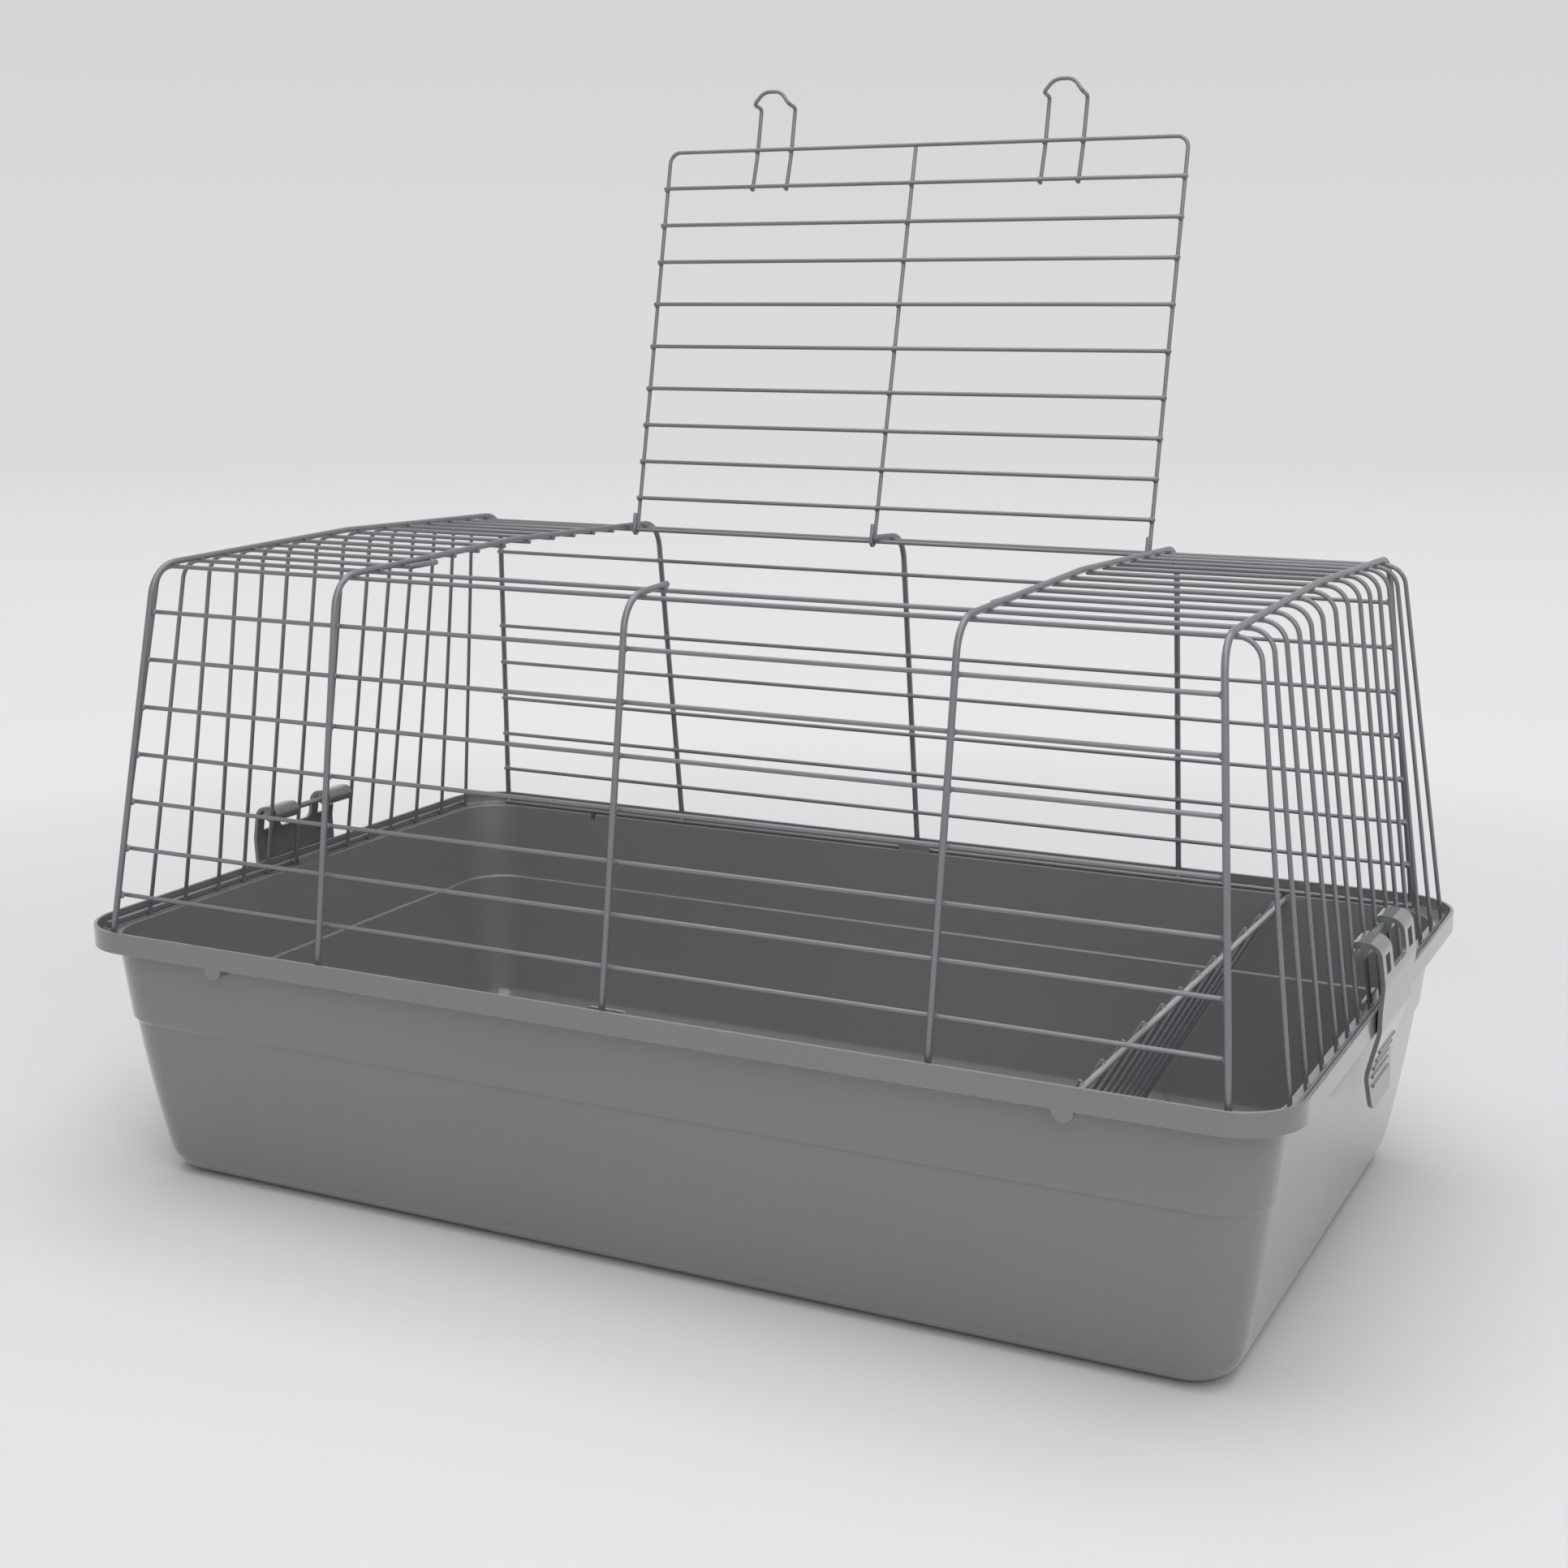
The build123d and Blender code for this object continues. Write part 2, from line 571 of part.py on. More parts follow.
for side in (-1, 1):
    slot_h = LATCH_SLOT_TOP - LATCH_SLOT_BOTTOM
    slot_y = side * (knuckle_in + knuckle_out) / 2
    slot = Pos(slot_y, (LATCH_SLOT_TOP + LATCH_SLOT_BOTTOM) / 2) * Rectangle(LATCH_SLOT, slot_h)
    latch -= Pos(LATCH_KNUCKLE_R, 0, 0) * extrude(Plane.YZ * slot, LATCH_WIDTH)
    knuckle = round_rod((0, side * knuckle_in, 0), (0, side * knuckle_out, 0), 2 * LATCH_KNUCKLE_R)
    latch += knuckle
bore = round_rod((0, -LATCH_WIDTH, 0), (0, LATCH_WIDTH, 0), HOOP_D + 2 * HINGE_CLEARANCE)
snap = Pos(-LATCH_KNUCKLE_R, 0, 0) * Box(2 * LATCH_KNUCKLE_R, 2 * LATCH_WIDTH, LATCH_SNAP)
latch = latch - bore - snap
catch_u = lip_u - LATCH_CATCH_REACH
catch_top = -math.sqrt((lip_u**2 + skirt_w**2)) - LATCH_CATCH_GAP
catch_w = -math.sqrt(catch_top**2 - catch_u**2)
catch_low = skirt_w - LATCH_CATCH_HEIGHT


def strap_middle(w):
    """Middle of the strap where it slopes in below the skirt."""
    return strap_u - LATCH_TUCK * (tuck_w - w) / LATCH_TUCK_HEIGHT


catch_points = [
    (catch_u, catch_w),
    (strap_middle(catch_w), -math.sqrt(catch_top**2 - strap_middle(catch_w) ** 2)),
    (strap_middle(catch_low), catch_low),
]
catch = make_face(Polyline(*catch_points, close=True))
latch += extrude(Plane.XZ * catch, LATCH_TIP_WIDTH / 2, both=True)
tab_length = strap_path.length
for i in range(GRIP_COUNT):
    at = 1 - (GRIP_START + GRIP_PITCH * i) / tab_length
    heading = strap_path % at
    crest = (strap_path @ at) + Vector(-heading.Z, 0, heading.X) * strap_half
    grip_half = LATCH_TIP_WIDTH / 2 - GRIP_MARGIN
    grip_ends = [(crest.X, -grip_half, crest.Z), (crest.X, grip_half, crest.Z)]
    latch += rod(grip_ends[0], grip_ends[1], 2 * GRIP_R, heading)
right_latch = Pos(bar_x, 0, LATCH_BAR_Z) * latch.solid()
left_latch = mirror_x(right_latch)

# Rack: a rail in the rim seats, level wires of one length and two slanting edge wires down to a
# foot wire on the tray floor.
rack_down = Vector(-math.sin(math.radians(RACK_LEAN)), 0, -math.cos(math.radians(RACK_LEAN)))
rack_face = Vector(-rack_down.Z, 0, rack_down.X)
rail_end = HALF_DEPTH - SEAT_END_INSET - RAIL_END_GAP
rack_rail = round_rod((SEAT_X, -rail_end, SEAT_Z), (SEAT_X, rail_end, SEAT_Z), HOOP_D)
wire_line = Vector(SEAT_X, 0, SEAT_Z) - rack_face * BAR_TO_WIRE
foot_offset = wire_line + rack_face * WIRE_TO_WIRE
rack_length = (foot_offset.Z - FLOOR - RACK_FLOOR_GAP - WIRE_R) / -rack_down.Z
foot_at = foot_offset + rack_down * rack_length
rack_edge_top = HALF_DEPTH - RACK_TOP_INSET
rack_edge_foot = HALF_DEPTH - FOOT_INSET - RACK_FOOT_GAP
rack_pitch = 2 * rack_edge_top / (2 * RACK_WIRES_A_SIDE + 1)
rack_foot_half = rack_edge_foot + WIRE_D
foot_ends = [(foot_at.X, side * rack_foot_half, foot_at.Z) for side in (-1, 1)]
rack_foot_wire = rod(foot_ends[0], foot_ends[1], WIRE_D, rack_down)
wire_top = wire_line - rack_down * RACK_STUB
wire_low = wire_line + rack_down * (rack_length + WIRE_R)
rack_wires = []
for i in range(RACK_WIRES_A_SIDE):
    for side in (-1, 1):
        y = side * rack_pitch * (i + 0.5)
        ends = [(wire_top.X, y, wire_top.Z), (wire_low.X, y, wire_low.Z)]
        rack_wires.append(rod(ends[0], ends[1], WIRE_D, (0, 1, 0)))
for side in (-1, 1):
    top = (wire_top.X, side * rack_edge_top, wire_top.Z)
    low = (wire_low.X, side * rack_edge_foot, wire_low.Z)
    rack_wires.append(rod(top, low, WIRE_D, (0, 1, 0)))

NODES = {
    "tray": tray,
    "hoop_far_left": hoop_far_left,
    "hoop_left": hoop_left,
    "hoop_right": hoop_right,
    "hoop_far_right": hoop_far_right,
    "middle_front_upright": middle_front_upright,
    "middle_rear_upright": middle_rear_upright,
    "front_rows": front_rows,
    "rear_rows": rear_rows,
    "front_bottom_wire": front_bottom_wire,
    "rear_bottom_wire": rear_bottom_wire,
    "front_edge_wire": front_edge_wire,
    "front_rail": front_rail,
    "hinge_rail": hinge_rail,
    "rear_edge_wire": rear_edge_wire,
    "left_roof_wires": left_roof_wires,
    "right_roof_wires": right_roof_wires,
    "left_foot_wire": left_foot_wire,
    "right_foot_wire": right_foot_wire,
    "left_latch_bar": left_latch_bar,
    "right_latch_bar": right_latch_bar,
    "left_door_rest": left_door_rest,
    "right_door_rest": right_door_rest,
    "door_frame": door_frame,
    "door_centre_wire": door_centre_wire,
    "door_rows": door_rows,
    "left_door_loop": left_door_loop,
    "right_door_loop": right_door_loop,
    "left_latch": left_latch,
    "right_latch": right_latch,
    "rack_rail": rack_rail,
    "rack_foot_wire": rack_foot_wire,
    "rack_wires": rack_wires,
}
os.makedirs("parts", exist_ok=True)
for name, shape in NODES.items():
    if isinstance(shape, list):
        shape = Compound(children=shape)
    export_step(shape, f"parts/{name}.step")
    box = shape.bounding_box()
    print(name, [round(v, 2) for v in (*box.min, *box.max)], round(shape.volume))
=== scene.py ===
# %% [markdown]
# A cage for small animals: a deep moulded tray with a bent and welded wire top on it. The packed
# CAD model is loaded first and stays as a fixed frame. Everything made here is placed from it, in
# metres, with X along the length, Y from front to back and Z up.

# %% Load the frame
import math

import bmesh
import bpy
from mathutils import Matrix, Vector


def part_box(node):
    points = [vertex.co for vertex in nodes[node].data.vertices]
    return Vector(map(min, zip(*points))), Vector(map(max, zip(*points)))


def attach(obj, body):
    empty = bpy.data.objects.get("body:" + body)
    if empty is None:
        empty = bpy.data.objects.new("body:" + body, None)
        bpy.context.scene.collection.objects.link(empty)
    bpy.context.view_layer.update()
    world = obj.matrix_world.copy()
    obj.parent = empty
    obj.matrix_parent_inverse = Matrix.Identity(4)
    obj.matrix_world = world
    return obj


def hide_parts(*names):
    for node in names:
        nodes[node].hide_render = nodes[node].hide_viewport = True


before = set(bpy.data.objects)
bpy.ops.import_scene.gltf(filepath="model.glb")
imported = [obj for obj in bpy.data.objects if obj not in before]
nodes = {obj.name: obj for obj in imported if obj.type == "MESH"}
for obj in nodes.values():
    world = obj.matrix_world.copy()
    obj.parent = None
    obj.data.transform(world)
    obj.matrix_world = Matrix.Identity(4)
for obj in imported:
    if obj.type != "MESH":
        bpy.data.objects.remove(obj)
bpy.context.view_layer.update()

# %% [markdown]
# The camera comes before the pieces, because every later choice is judged through it. Its lens,
# place and tilt are those at which the rim, the hoops and the roof wires of the frame fall where
# the picture has them. A camera that merely looks from the same side would leave the wires out of
# step.

# %% Camera
LENS = 51.23
SENSOR = 36.0
CAMERA_PLACE = (0.6402, -1.2803, 0.5694)
LOOK_DOWN = 12.123
TURNED = 26.484
bpy.ops.object.select_all(action="DESELECT")
bpy.ops.object.camera_add(location=CAMERA_PLACE)
camera = bpy.context.object
camera.name = "photo_camera"
camera.rotation_euler = (math.radians(90 - LOOK_DOWN), 0, math.radians(TURNED))
camera.data.lens = LENS
camera.data.sensor_width = SENSOR
bpy.context.scene.camera = camera
print("camera", LENS, "mm lens,", round(camera.location.length, 2), "m from the origin")

# %% [markdown]
# Everything here is modelled with the tools of edit mode, so a few small hand tools come first:
# picking one piece out, rounding its edges, turning its faces outwards and naming the CAD node it
# stands for. The edges are rounded by a bevel that is limited by angle, which finds real edges
# and leaves curved walls alone.

# %% Hand tools
SMOOTH_ANGLE = math.radians(40)


def select_only(*pieces):
    bpy.ops.object.select_all(action="DESELECT")
    for piece in pieces:
        piece.select_set(True)
    bpy.context.view_layer.objects.active = pieces[0]


def pick(choose):
    """In edit mode, selects the points that choose says yes to, with what lies between them."""
    bpy.ops.mesh.select_mode(type="VERT")
    bpy.ops.mesh.select_all(action="DESELECT")
    mesh = bmesh.from_edit_mesh(bpy.context.object.data)
    for point in mesh.verts:
        point.select_set(choose(point))
    mesh.select_flush(True)
    bmesh.update_edit_mesh(bpy.context.object.data)


def face_outwards(piece):
    select_only(piece)
    bpy.ops.object.mode_set(mode="EDIT")
    bpy.ops.mesh.select_all(action="SELECT")
    bpy.ops.mesh.normals_make_consistent(inside=False)
    bpy.ops.object.mode_set(mode="OBJECT")


def soften(piece, width, segments, angle):
    select_only(piece)
    bevel = piece.modifiers.new("soft_edges", "BEVEL")
    bevel.width = width
    bevel.segments = segments
    bevel.limit_method = "ANGLE"
    bevel.angle_limit = angle
    bpy.ops.object.modifier_apply(modifier=bevel.name)
    bpy.ops.object.shade_smooth_by_angle(angle=SMOOTH_ANGLE)


def even_shading(piece):
    """Large faces keep their own direction, so light doesn't bend near a rounded edge."""
    select_only(piece)
    bpy.ops.object.shade_smooth_by_angle(angle=SMOOTH_ANGLE)
    weigh = piece.modifiers.new("even_shading", "WEIGHTED_NORMAL")
    weigh.keep_sharp = True
    bpy.ops.object.modifier_apply(modifier=weigh.name)


def stand_for(piece, node, body):
    """The piece is shown in place of the CAD node and moves with its body."""
    low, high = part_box(node)
    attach(piece, body)
    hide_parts(node)
    corners = [Vector(corner) for corner in piece.bound_box]
    over = [round(1000 * (max(c[i] for c in corners) - high[i]), 2) for i in range(3)]
    under = [round(1000 * (low[i] - min(c[i] for c in corners)), 2) for i in range(3)]
    print(piece.name, len(piece.data.polygons), "faces, mm past the CAD", over, under)


# %% [markdown]
# The tray is one thin moulding. Its wall has one small step, bows in a little and ends in a wide
# round foot, and it stands on a low ring under its floor, so a dark line runs below the foot. A
# channel runs round the top for the wire. A box with a solidify modifier would give the wall but
# not the channel. So a plate with round corners is drawn from level to level, as a potter pulls a
# wall: up the outside, out under the ledge, round the skirt and the lip, back over the ledge and
# down inside to the floor.

# %% Tray sizes
_, tray_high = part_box("tray")
HALF_LENGTH = tray_high[0]
HALF_DEPTH = tray_high[1]
LIP_TOP = tray_high[2]
LIP_RISE = 0.008
LIP_THICKNESS = 0.0023
SKIRT_DROP = 0.006
WALL = 0.0025
LEDGE = LIP_TOP - LIP_RISE
LEDGE_UNDER = LEDGE - WALL
SKIRT_BOTTOM = LEDGE - SKIRT_DROP
TRAY_FLOOR = 0.003
LEDGE_INSET = 0.0115
STEP_UPPER, STEP_UPPER_INSET = 0.111, 0.0170
STEP_LOWER, STEP_LOWER_INSET = 0.109, 0.0190
STEP_INSIDE_RISE, STEP_INSIDE_WIDTH = 0.0006, 0.0012
FOOT_INSET = 0.0362
FOOT_GAP = 0.0007
RING_SET_IN = 0.0230
RING_INSET = FOOT_INSET + RING_SET_IN
RING_SLOPE = 0.0010
RING_SHARE = 0.9
BOW_LEAN = 0.108
RIM_CORNER = 0.040
CORNER_TAPER = 0.4
BOW_HEIGHTS = [0.026, 0.040, 0.056, 0.073, 0.091, STEP_LOWER]
print("tray in mm", [round(1000 * v, 1) for v in tray_high], "ledge at", round(1000 * LEDGE, 1))

# %% [markdown]
# From these sizes comes a list of levels. Each is a height, how far its sides stand in from the
# lip and the radius of its corners. The rim's corners keep an even distance from the lip. Those
# of the wall narrow more slowly, so the foot stays round. The wall's curve is worked out from a
# lean and a bow, because insets read off one by one would leave it bumpy.

# %% Tray levels


def bowed_inset(z):
    """The wall leaves the step at a slight lean and curves in more and more towards the foot."""
    down = STEP_LOWER - z
    bow = FOOT_INSET - STEP_LOWER_INSET - BOW_LEAN * STEP_LOWER
    return STEP_LOWER_INSET + BOW_LEAN * down + bow * (down / STEP_LOWER) ** 2


def wall_level(z, inset):
    return z, inset, RIM_CORNER - CORNER_TAPER * inset


def rim_level(z, inset):
    return z, inset, RIM_CORNER - inset


upper_lean = (STEP_UPPER_INSET - LEDGE_INSET) / (LEDGE - STEP_UPPER)
outside = [wall_level(0, RING_INSET), wall_level(FOOT_GAP * RING_SHARE, RING_INSET - RING_SLOPE)]
outside += [wall_level(z, bowed_inset(z)) for z in [FOOT_GAP] + BOW_HEIGHTS]
outside.append(wall_level(STEP_UPPER, STEP_UPPER_INSET))
outside.append(wall_level(LEDGE_UNDER, LEDGE_INSET + upper_lean * (LEDGE - LEDGE_UNDER)))
rim = [(LEDGE_UNDER, LIP_THICKNESS), (SKIRT_BOTTOM, LIP_THICKNESS), (SKIRT_BOTTOM, 0)]
rim += [(LIP_TOP, 0), (LIP_TOP, LIP_THICKNESS), (LEDGE, LIP_THICKNESS)]
inside = [wall_level(LEDGE, LEDGE_INSET + WALL)]
step_inset = STEP_LOWER_INSET + WALL - STEP_INSIDE_WIDTH
inside.append(wall_level(STEP_LOWER + STEP_INSIDE_RISE, step_inset))
inside += [wall_level(z, bowed_inset(z) + WALL) for z in reversed(BOW_HEIGHTS)]
inside.append(wall_level(TRAY_FLOOR, bowed_inset(TRAY_FLOOR) + WALL))
tray_levels = outside + [rim_level(z, inset) for z, inset in rim] + inside
print("tray levels", len(tray_levels))

# %% [markdown]
# Scaling a level as a whole would make its corners oval. Each corner is therefore scaled about
# the centre of its own arc and moved in, and the straight sides follow. The two sharp turns at
# the foot and on the floor are then rolled over with a wide bevel, and every other edge gets the
# small radius of a mould.

# %% Pull the tray's wall
CORNER_STEPS = 12
QUARTERS = [(1, 1), (-1, 1), (-1, -1), (1, -1)]
FOOT_ROLL, FOOT_STEPS = 0.0180, 9
FLOOR_ROLL, FLOOR_STEPS = 0.0155, 8
MOULD_EDGE, MOULD_ANGLE = 0.0007, math.radians(25)
TOUCHING = 1e-6


def round_plate(z, inset, corner):
    bpy.ops.object.select_all(action="DESELECT")
    bpy.ops.mesh.primitive_plane_add(size=2, location=(0, 0, z))
    bpy.ops.transform.resize(value=(HALF_LENGTH - inset, HALF_DEPTH - inset, 1))
    bpy.ops.object.transform_apply(location=True, rotation=True, scale=True)
    bpy.ops.object.mode_set(mode="EDIT")
    bpy.ops.mesh.select_all(action="SELECT")
    bpy.ops.mesh.bevel(offset=corner, segments=CORNER_STEPS, affect="VERTICES")
    bpy.ops.mesh.select_all(action="SELECT")
    return bpy.context.object


def pull_to(piece, last, level):
    """Draws the open end on to the next level and sets its four corners out there."""
    bpy.ops.mesh.extrude_region_move(TRANSFORM_OT_translate={"value": (0, 0, level[0] - last[0])})
    mesh = bmesh.from_edit_mesh(piece.data)
    ring = {point.index for point in mesh.verts if point.select}
    grow = level[2] / last[2]
    for side_x, side_y in QUARTERS:
        pick(lambda p: p.index in ring and p.co.x * side_x > 0 and p.co.y * side_y > 0)
        reach = last[1] + last[2]
        centre = (side_x * (HALF_LENGTH - reach), side_y * (HALF_DEPTH - reach), level[0])
        bpy.ops.transform.resize(value=(grow, grow, 1), center_override=centre)
        move = reach - level[1] - level[2]
        bpy.ops.transform.translate(value=(side_x * move, side_y * move, 0))
    pick(lambda p: p.index in ring)


def roll_edge(height, width, steps):
    """Rounds the edge that runs right round the tray at one height."""
    pick(lambda p: abs(p.co.z - height) < TOUCHING)
    bpy.ops.mesh.bevel(offset=width, segments=steps, affect="EDGES")


tray_shell = round_plate(*tray_levels[0])
tray_shell.name = "moulded_tray"
for last, level in zip(tray_levels, tray_levels[1:]):
    pull_to(tray_shell, last, level)
roll_edge(FOOT_GAP, FOOT_ROLL, FOOT_STEPS)
roll_edge(TRAY_FLOOR, FLOOR_ROLL, FLOOR_STEPS)
bpy.ops.object.mode_set(mode="OBJECT")
face_outwards(tray_shell)
soften(tray_shell, MOULD_EDGE, segments=3, angle=MOULD_ANGLE)
print("tray shell", len(tray_shell.data.polygons), "faces")

# %% [markdown]
# Small fittings need a few more hand tools: a block, a round boss, a copy turned over for the
# other side of the cage, and a boolean that joins a fitting to a moulding or cuts it out. A
# mirror modifier would give the other side too, but a copy can get its own name and stand for its
# own CAD node.

# %% Blocks, bosses and cuts
BOSS_SIDES = 40


def block(low, high):
    """A box from its lowest to its highest corner, left in edit mode."""
    low, high = Vector(low), Vector(high)
    bpy.ops.object.select_all(action="DESELECT")
    bpy.ops.mesh.primitive_cube_add(size=1, location=(low + high) / 2)
    bpy.ops.transform.resize(value=high - low)
    bpy.ops.object.transform_apply(location=True, rotation=True, scale=True)
    bpy.ops.object.mode_set(mode="EDIT")
    return bpy.context.object


def boss(x, z, near, far, radius):
    """A cylinder that lies from front to back."""
    bpy.ops.object.select_all(action="DESELECT")
    size = {"vertices": BOSS_SIDES, "radius": radius, "depth": far - near}
    centre = (x, (near + far) / 2, z)
    bpy.ops.mesh.primitive_cylinder_add(**size, location=centre, rotation=(math.pi / 2, 0, 0))
    bpy.ops.object.transform_apply(location=True, rotation=True, scale=True)
    return bpy.context.object


def mirror_copy(piece, name, axis):
    """A copy with its own mesh, turned over across the middle of the cage."""
    select_only(piece)
    bpy.ops.object.duplicate()
    copy = bpy.context.object
    copy.name = name
    bpy.ops.object.mode_set(mode="EDIT")
    bpy.ops.mesh.select_all(action="SELECT")
    flip = [-1 if i == axis else 1 for i in range(3)]
    bpy.ops.transform.resize(value=flip, center_override=(0, 0, 0))
    bpy.ops.object.mode_set(mode="OBJECT")
    face_outwards(copy)
    return copy


def join(*pieces):
    select_only(*pieces)
    bpy.ops.object.join()
    return bpy.context.object


def combine(piece, tool, operation):
    """Adds a tool's shape to a piece or cuts it out, and clears the tool away."""
    select_only(piece)
    cut = piece.modifiers.new("combine", "BOOLEAN")
    cut.object = tool
    cut.operation = operation
    cut.solver = "EXACT"
    bpy.ops.object.modifier_apply(modifier=cut.name)
    select_only(tool)
    bpy.ops.object.delete()


# %% [markdown]
# Small things stand on the rim: four tongues behind the ledge that keep the wire top from sliding
# in, and four round lugs under the skirt, each with a slot from above that the rack's rail drops
# into. They are shaped on their own and joined with a boolean, because a tool would cut them into
# the same mould.

# %% Tongues, lugs and slots of the tray
SEAT_END_GAP = 0.119
SEAT_STOP_INSET, SEAT_INNER_INSET = 0.0046, 0.023
SEAT_Z = 0.163
SEAT_R = 0.0021
SEAT_ROUND = SEAT_R * 0.98
SEAT_X = HALF_LENGTH - SEAT_END_GAP
SEAT_STOP = HALF_DEPTH - SEAT_STOP_INSET
SEAT_INNER = HALF_DEPTH - SEAT_INNER_INSET
LUG_R = 0.0063
LUG_DROP = 0.0024
LUG_INNER = HALF_DEPTH - LEDGE_INSET - WALL / 2
LUG_EDGE = 0.0006
TONGUE_THICK = 0.0023
TONGUE_RISE, TONGUE_ROOT = 0.0055, 0.001
TONGUE_INSET = LEDGE_INSET + WALL - TONGUE_THICK / 2
TONGUE_ROUND = 0.0020
TONGUE_EDGE = 0.0003
SIDE_TONGUE_HALF, END_TONGUE_HALF = 0.0125, 0.016
SQUARE_EDGE = math.radians(60)


def tongue(half_x, half_y, x, y, across):
    """A plate on the ledge whose two upper corners are rounded along one axis."""
    low = (x - half_x, y - half_y, LEDGE - TONGUE_ROOT)
    piece = block(low, (x + half_x, y + half_y, LEDGE + TONGUE_RISE))
    for side in (-1, 1):
        pick(lambda p: p.co.z > LEDGE and (p.co[across] - (x, y)[across]) * side > 0)
        bpy.ops.mesh.bevel(offset=TONGUE_ROUND, segments=5, affect="EDGES")
    bpy.ops.object.mode_set(mode="OBJECT")
    soften(piece, TONGUE_EDGE, segments=2, angle=SQUARE_EDGE)
    return piece


def lug(x):
    """A boss on the front that reaches from inside the wall to the face of the skirt."""
    piece = boss(x, SEAT_Z - LUG_DROP, -HALF_DEPTH, -LUG_INNER, LUG_R)
    soften(piece, LUG_EDGE, segments=3, angle=SQUARE_EDGE)
    return piece


def slot_cutter(x):
    """What is cut from a lug: open at the top, with a round bottom for the rail."""
    low = (x - SEAT_R, -SEAT_STOP, SEAT_Z - SEAT_R)
    piece = block(low, (x + SEAT_R, -SEAT_INNER, LIP_TOP))
    for side in (-1, 1):
        pick(lambda p: p.co.z < SEAT_Z and (p.co.x - x) * side > 0)
        bpy.ops.mesh.bevel(offset=SEAT_ROUND, segments=6, affect="EDGES")
    bpy.ops.object.mode_set(mode="OBJECT")
    return piece


side_tongue = tongue(SIDE_TONGUE_HALF, TONGUE_THICK / 2, 0, HALF_DEPTH - TONGUE_INSET, 0)
end_tongue = tongue(TONGUE_THICK / 2, END_TONGUE_HALF, HALF_LENGTH - TONGUE_INSET, 0, 1)
fittings = [side_tongue, mirror_copy(side_tongue, "front_tongue", 1)]
fittings += [end_tongue, mirror_copy(end_tongue, "left_tongue", 0)]
front_lugs = [lug(-SEAT_X), lug(SEAT_X)]
fittings += front_lugs + [mirror_copy(piece, "rear_lug", 1) for piece in front_lugs]
front_slots = [slot_cutter(-SEAT_X), slot_cutter(SEAT_X)]
slots = front_slots + [mirror_copy(piece, "rear_slot", 1) for piece in front_slots]
combine(tray_shell, join(*fittings), "UNION")
combine(tray_shell, join(*slots), "DIFFERENCE")
even_shading(tray_shell)
stand_for(tray_shell, "tray", "cage")

# %% [markdown]
# The wires are the cage. In the CAD they have six flat sides, which is enough to weigh and to
# collide, but light runs along a round wire in one soft line. A curve with a bevel would be
# quicker to draw. The wires are bent here as a wire bender does it instead: a disc is cut, fed
# straight, turned round a former and fed again, because then each bend has the radius of the tool
# that made it.

# %% Cut, feed and bend a wire
BEND_STEP = math.radians(9)
WIRE_SIDES = 12


def cut_wire(start, heading, wire_r, sides):
    """A round disc of wire at its start, filled and selected, ready in edit mode."""
    bpy.ops.object.select_all(action="DESELECT")
    facing = heading.to_track_quat("Z", "Y").to_euler()
    disc = {"vertices": sides, "radius": wire_r, "fill_type": "NGON"}
    bpy.ops.mesh.primitive_circle_add(**disc, location=start, rotation=facing)
    bpy.ops.object.transform_apply(location=True, rotation=True, scale=True)
    bpy.ops.object.mode_set(mode="EDIT")
    bpy.ops.mesh.select_all(action="SELECT")
    return bpy.context.object


def feed(run):
    bpy.ops.mesh.extrude_region_move(TRANSFORM_OT_translate={"value": run})


def turn_round(former, axis, angle):
    """Spin turns clockwise about its axis, so the angle is given backwards."""
    steps = max(2, math.ceil(angle / BEND_STEP))
    bpy.ops.mesh.spin(steps=steps, angle=-angle, center=former, axis=axis)


def bend_wire(corners, bend_radii, wire_r, sides=WIRE_SIDES):
    """Feeds wire towards each corner and turns it there round a former of the given radius."""
    corners = [Vector(corner) for corner in corners]
    wire = cut_wire(corners[0], corners[1] - corners[0], wire_r, sides)
    here = corners[0]
    for before, corner, after, bend_r in zip(corners, corners[1:], corners[2:], bend_radii):
        entry = (corner - before).normalized()
        leave = (after - corner).normalized()
        angle = entry.angle(leave)
        set_back = bend_r * math.tan(angle / 2)
        axis = entry.cross(leave).normalized()
        begin = corner - entry * set_back
        feed(begin - here)
        turn_round(begin + axis.cross(entry) * bend_r, axis, angle)
        here = corner + leave * set_back
    feed(corners[-1] - here)
    bpy.ops.object.mode_set(mode="OBJECT")
    return wire


# %% [markdown]
# A cut wire has a burr-free rim, because the coating rounds it. The bevel is limited by angle, so
# it finds the rims of the cut ends and leaves the round sides alone. Wires that belong to one CAD
# node become one piece that stands for it and moves with the same body.

# %% Gather wires into a piece
END_ROUND = 0.0005


def gather(name, wires):
    select_only(*wires)
    if len(wires) > 1:
        bpy.ops.object.join()
    piece = bpy.context.object
    piece.name = name
    face_outwards(piece)
    soften(piece, END_ROUND, segments=2, angle=SQUARE_EDGE)
    print(name, "gathered from", len(wires), "wires")
    return piece


# %% [markdown]
# Four thick hoops carry the wire top. Each has two legs that lean in from the ledge of the tray,
# a tight bend at each shoulder and a roof that is crowned by a few millimetres. Their lines are
# written down first, each as a function of height or depth. Guide curves could be drawn instead,
# but every other wire is laid along the hoops or welded to them, and a function gives any point.

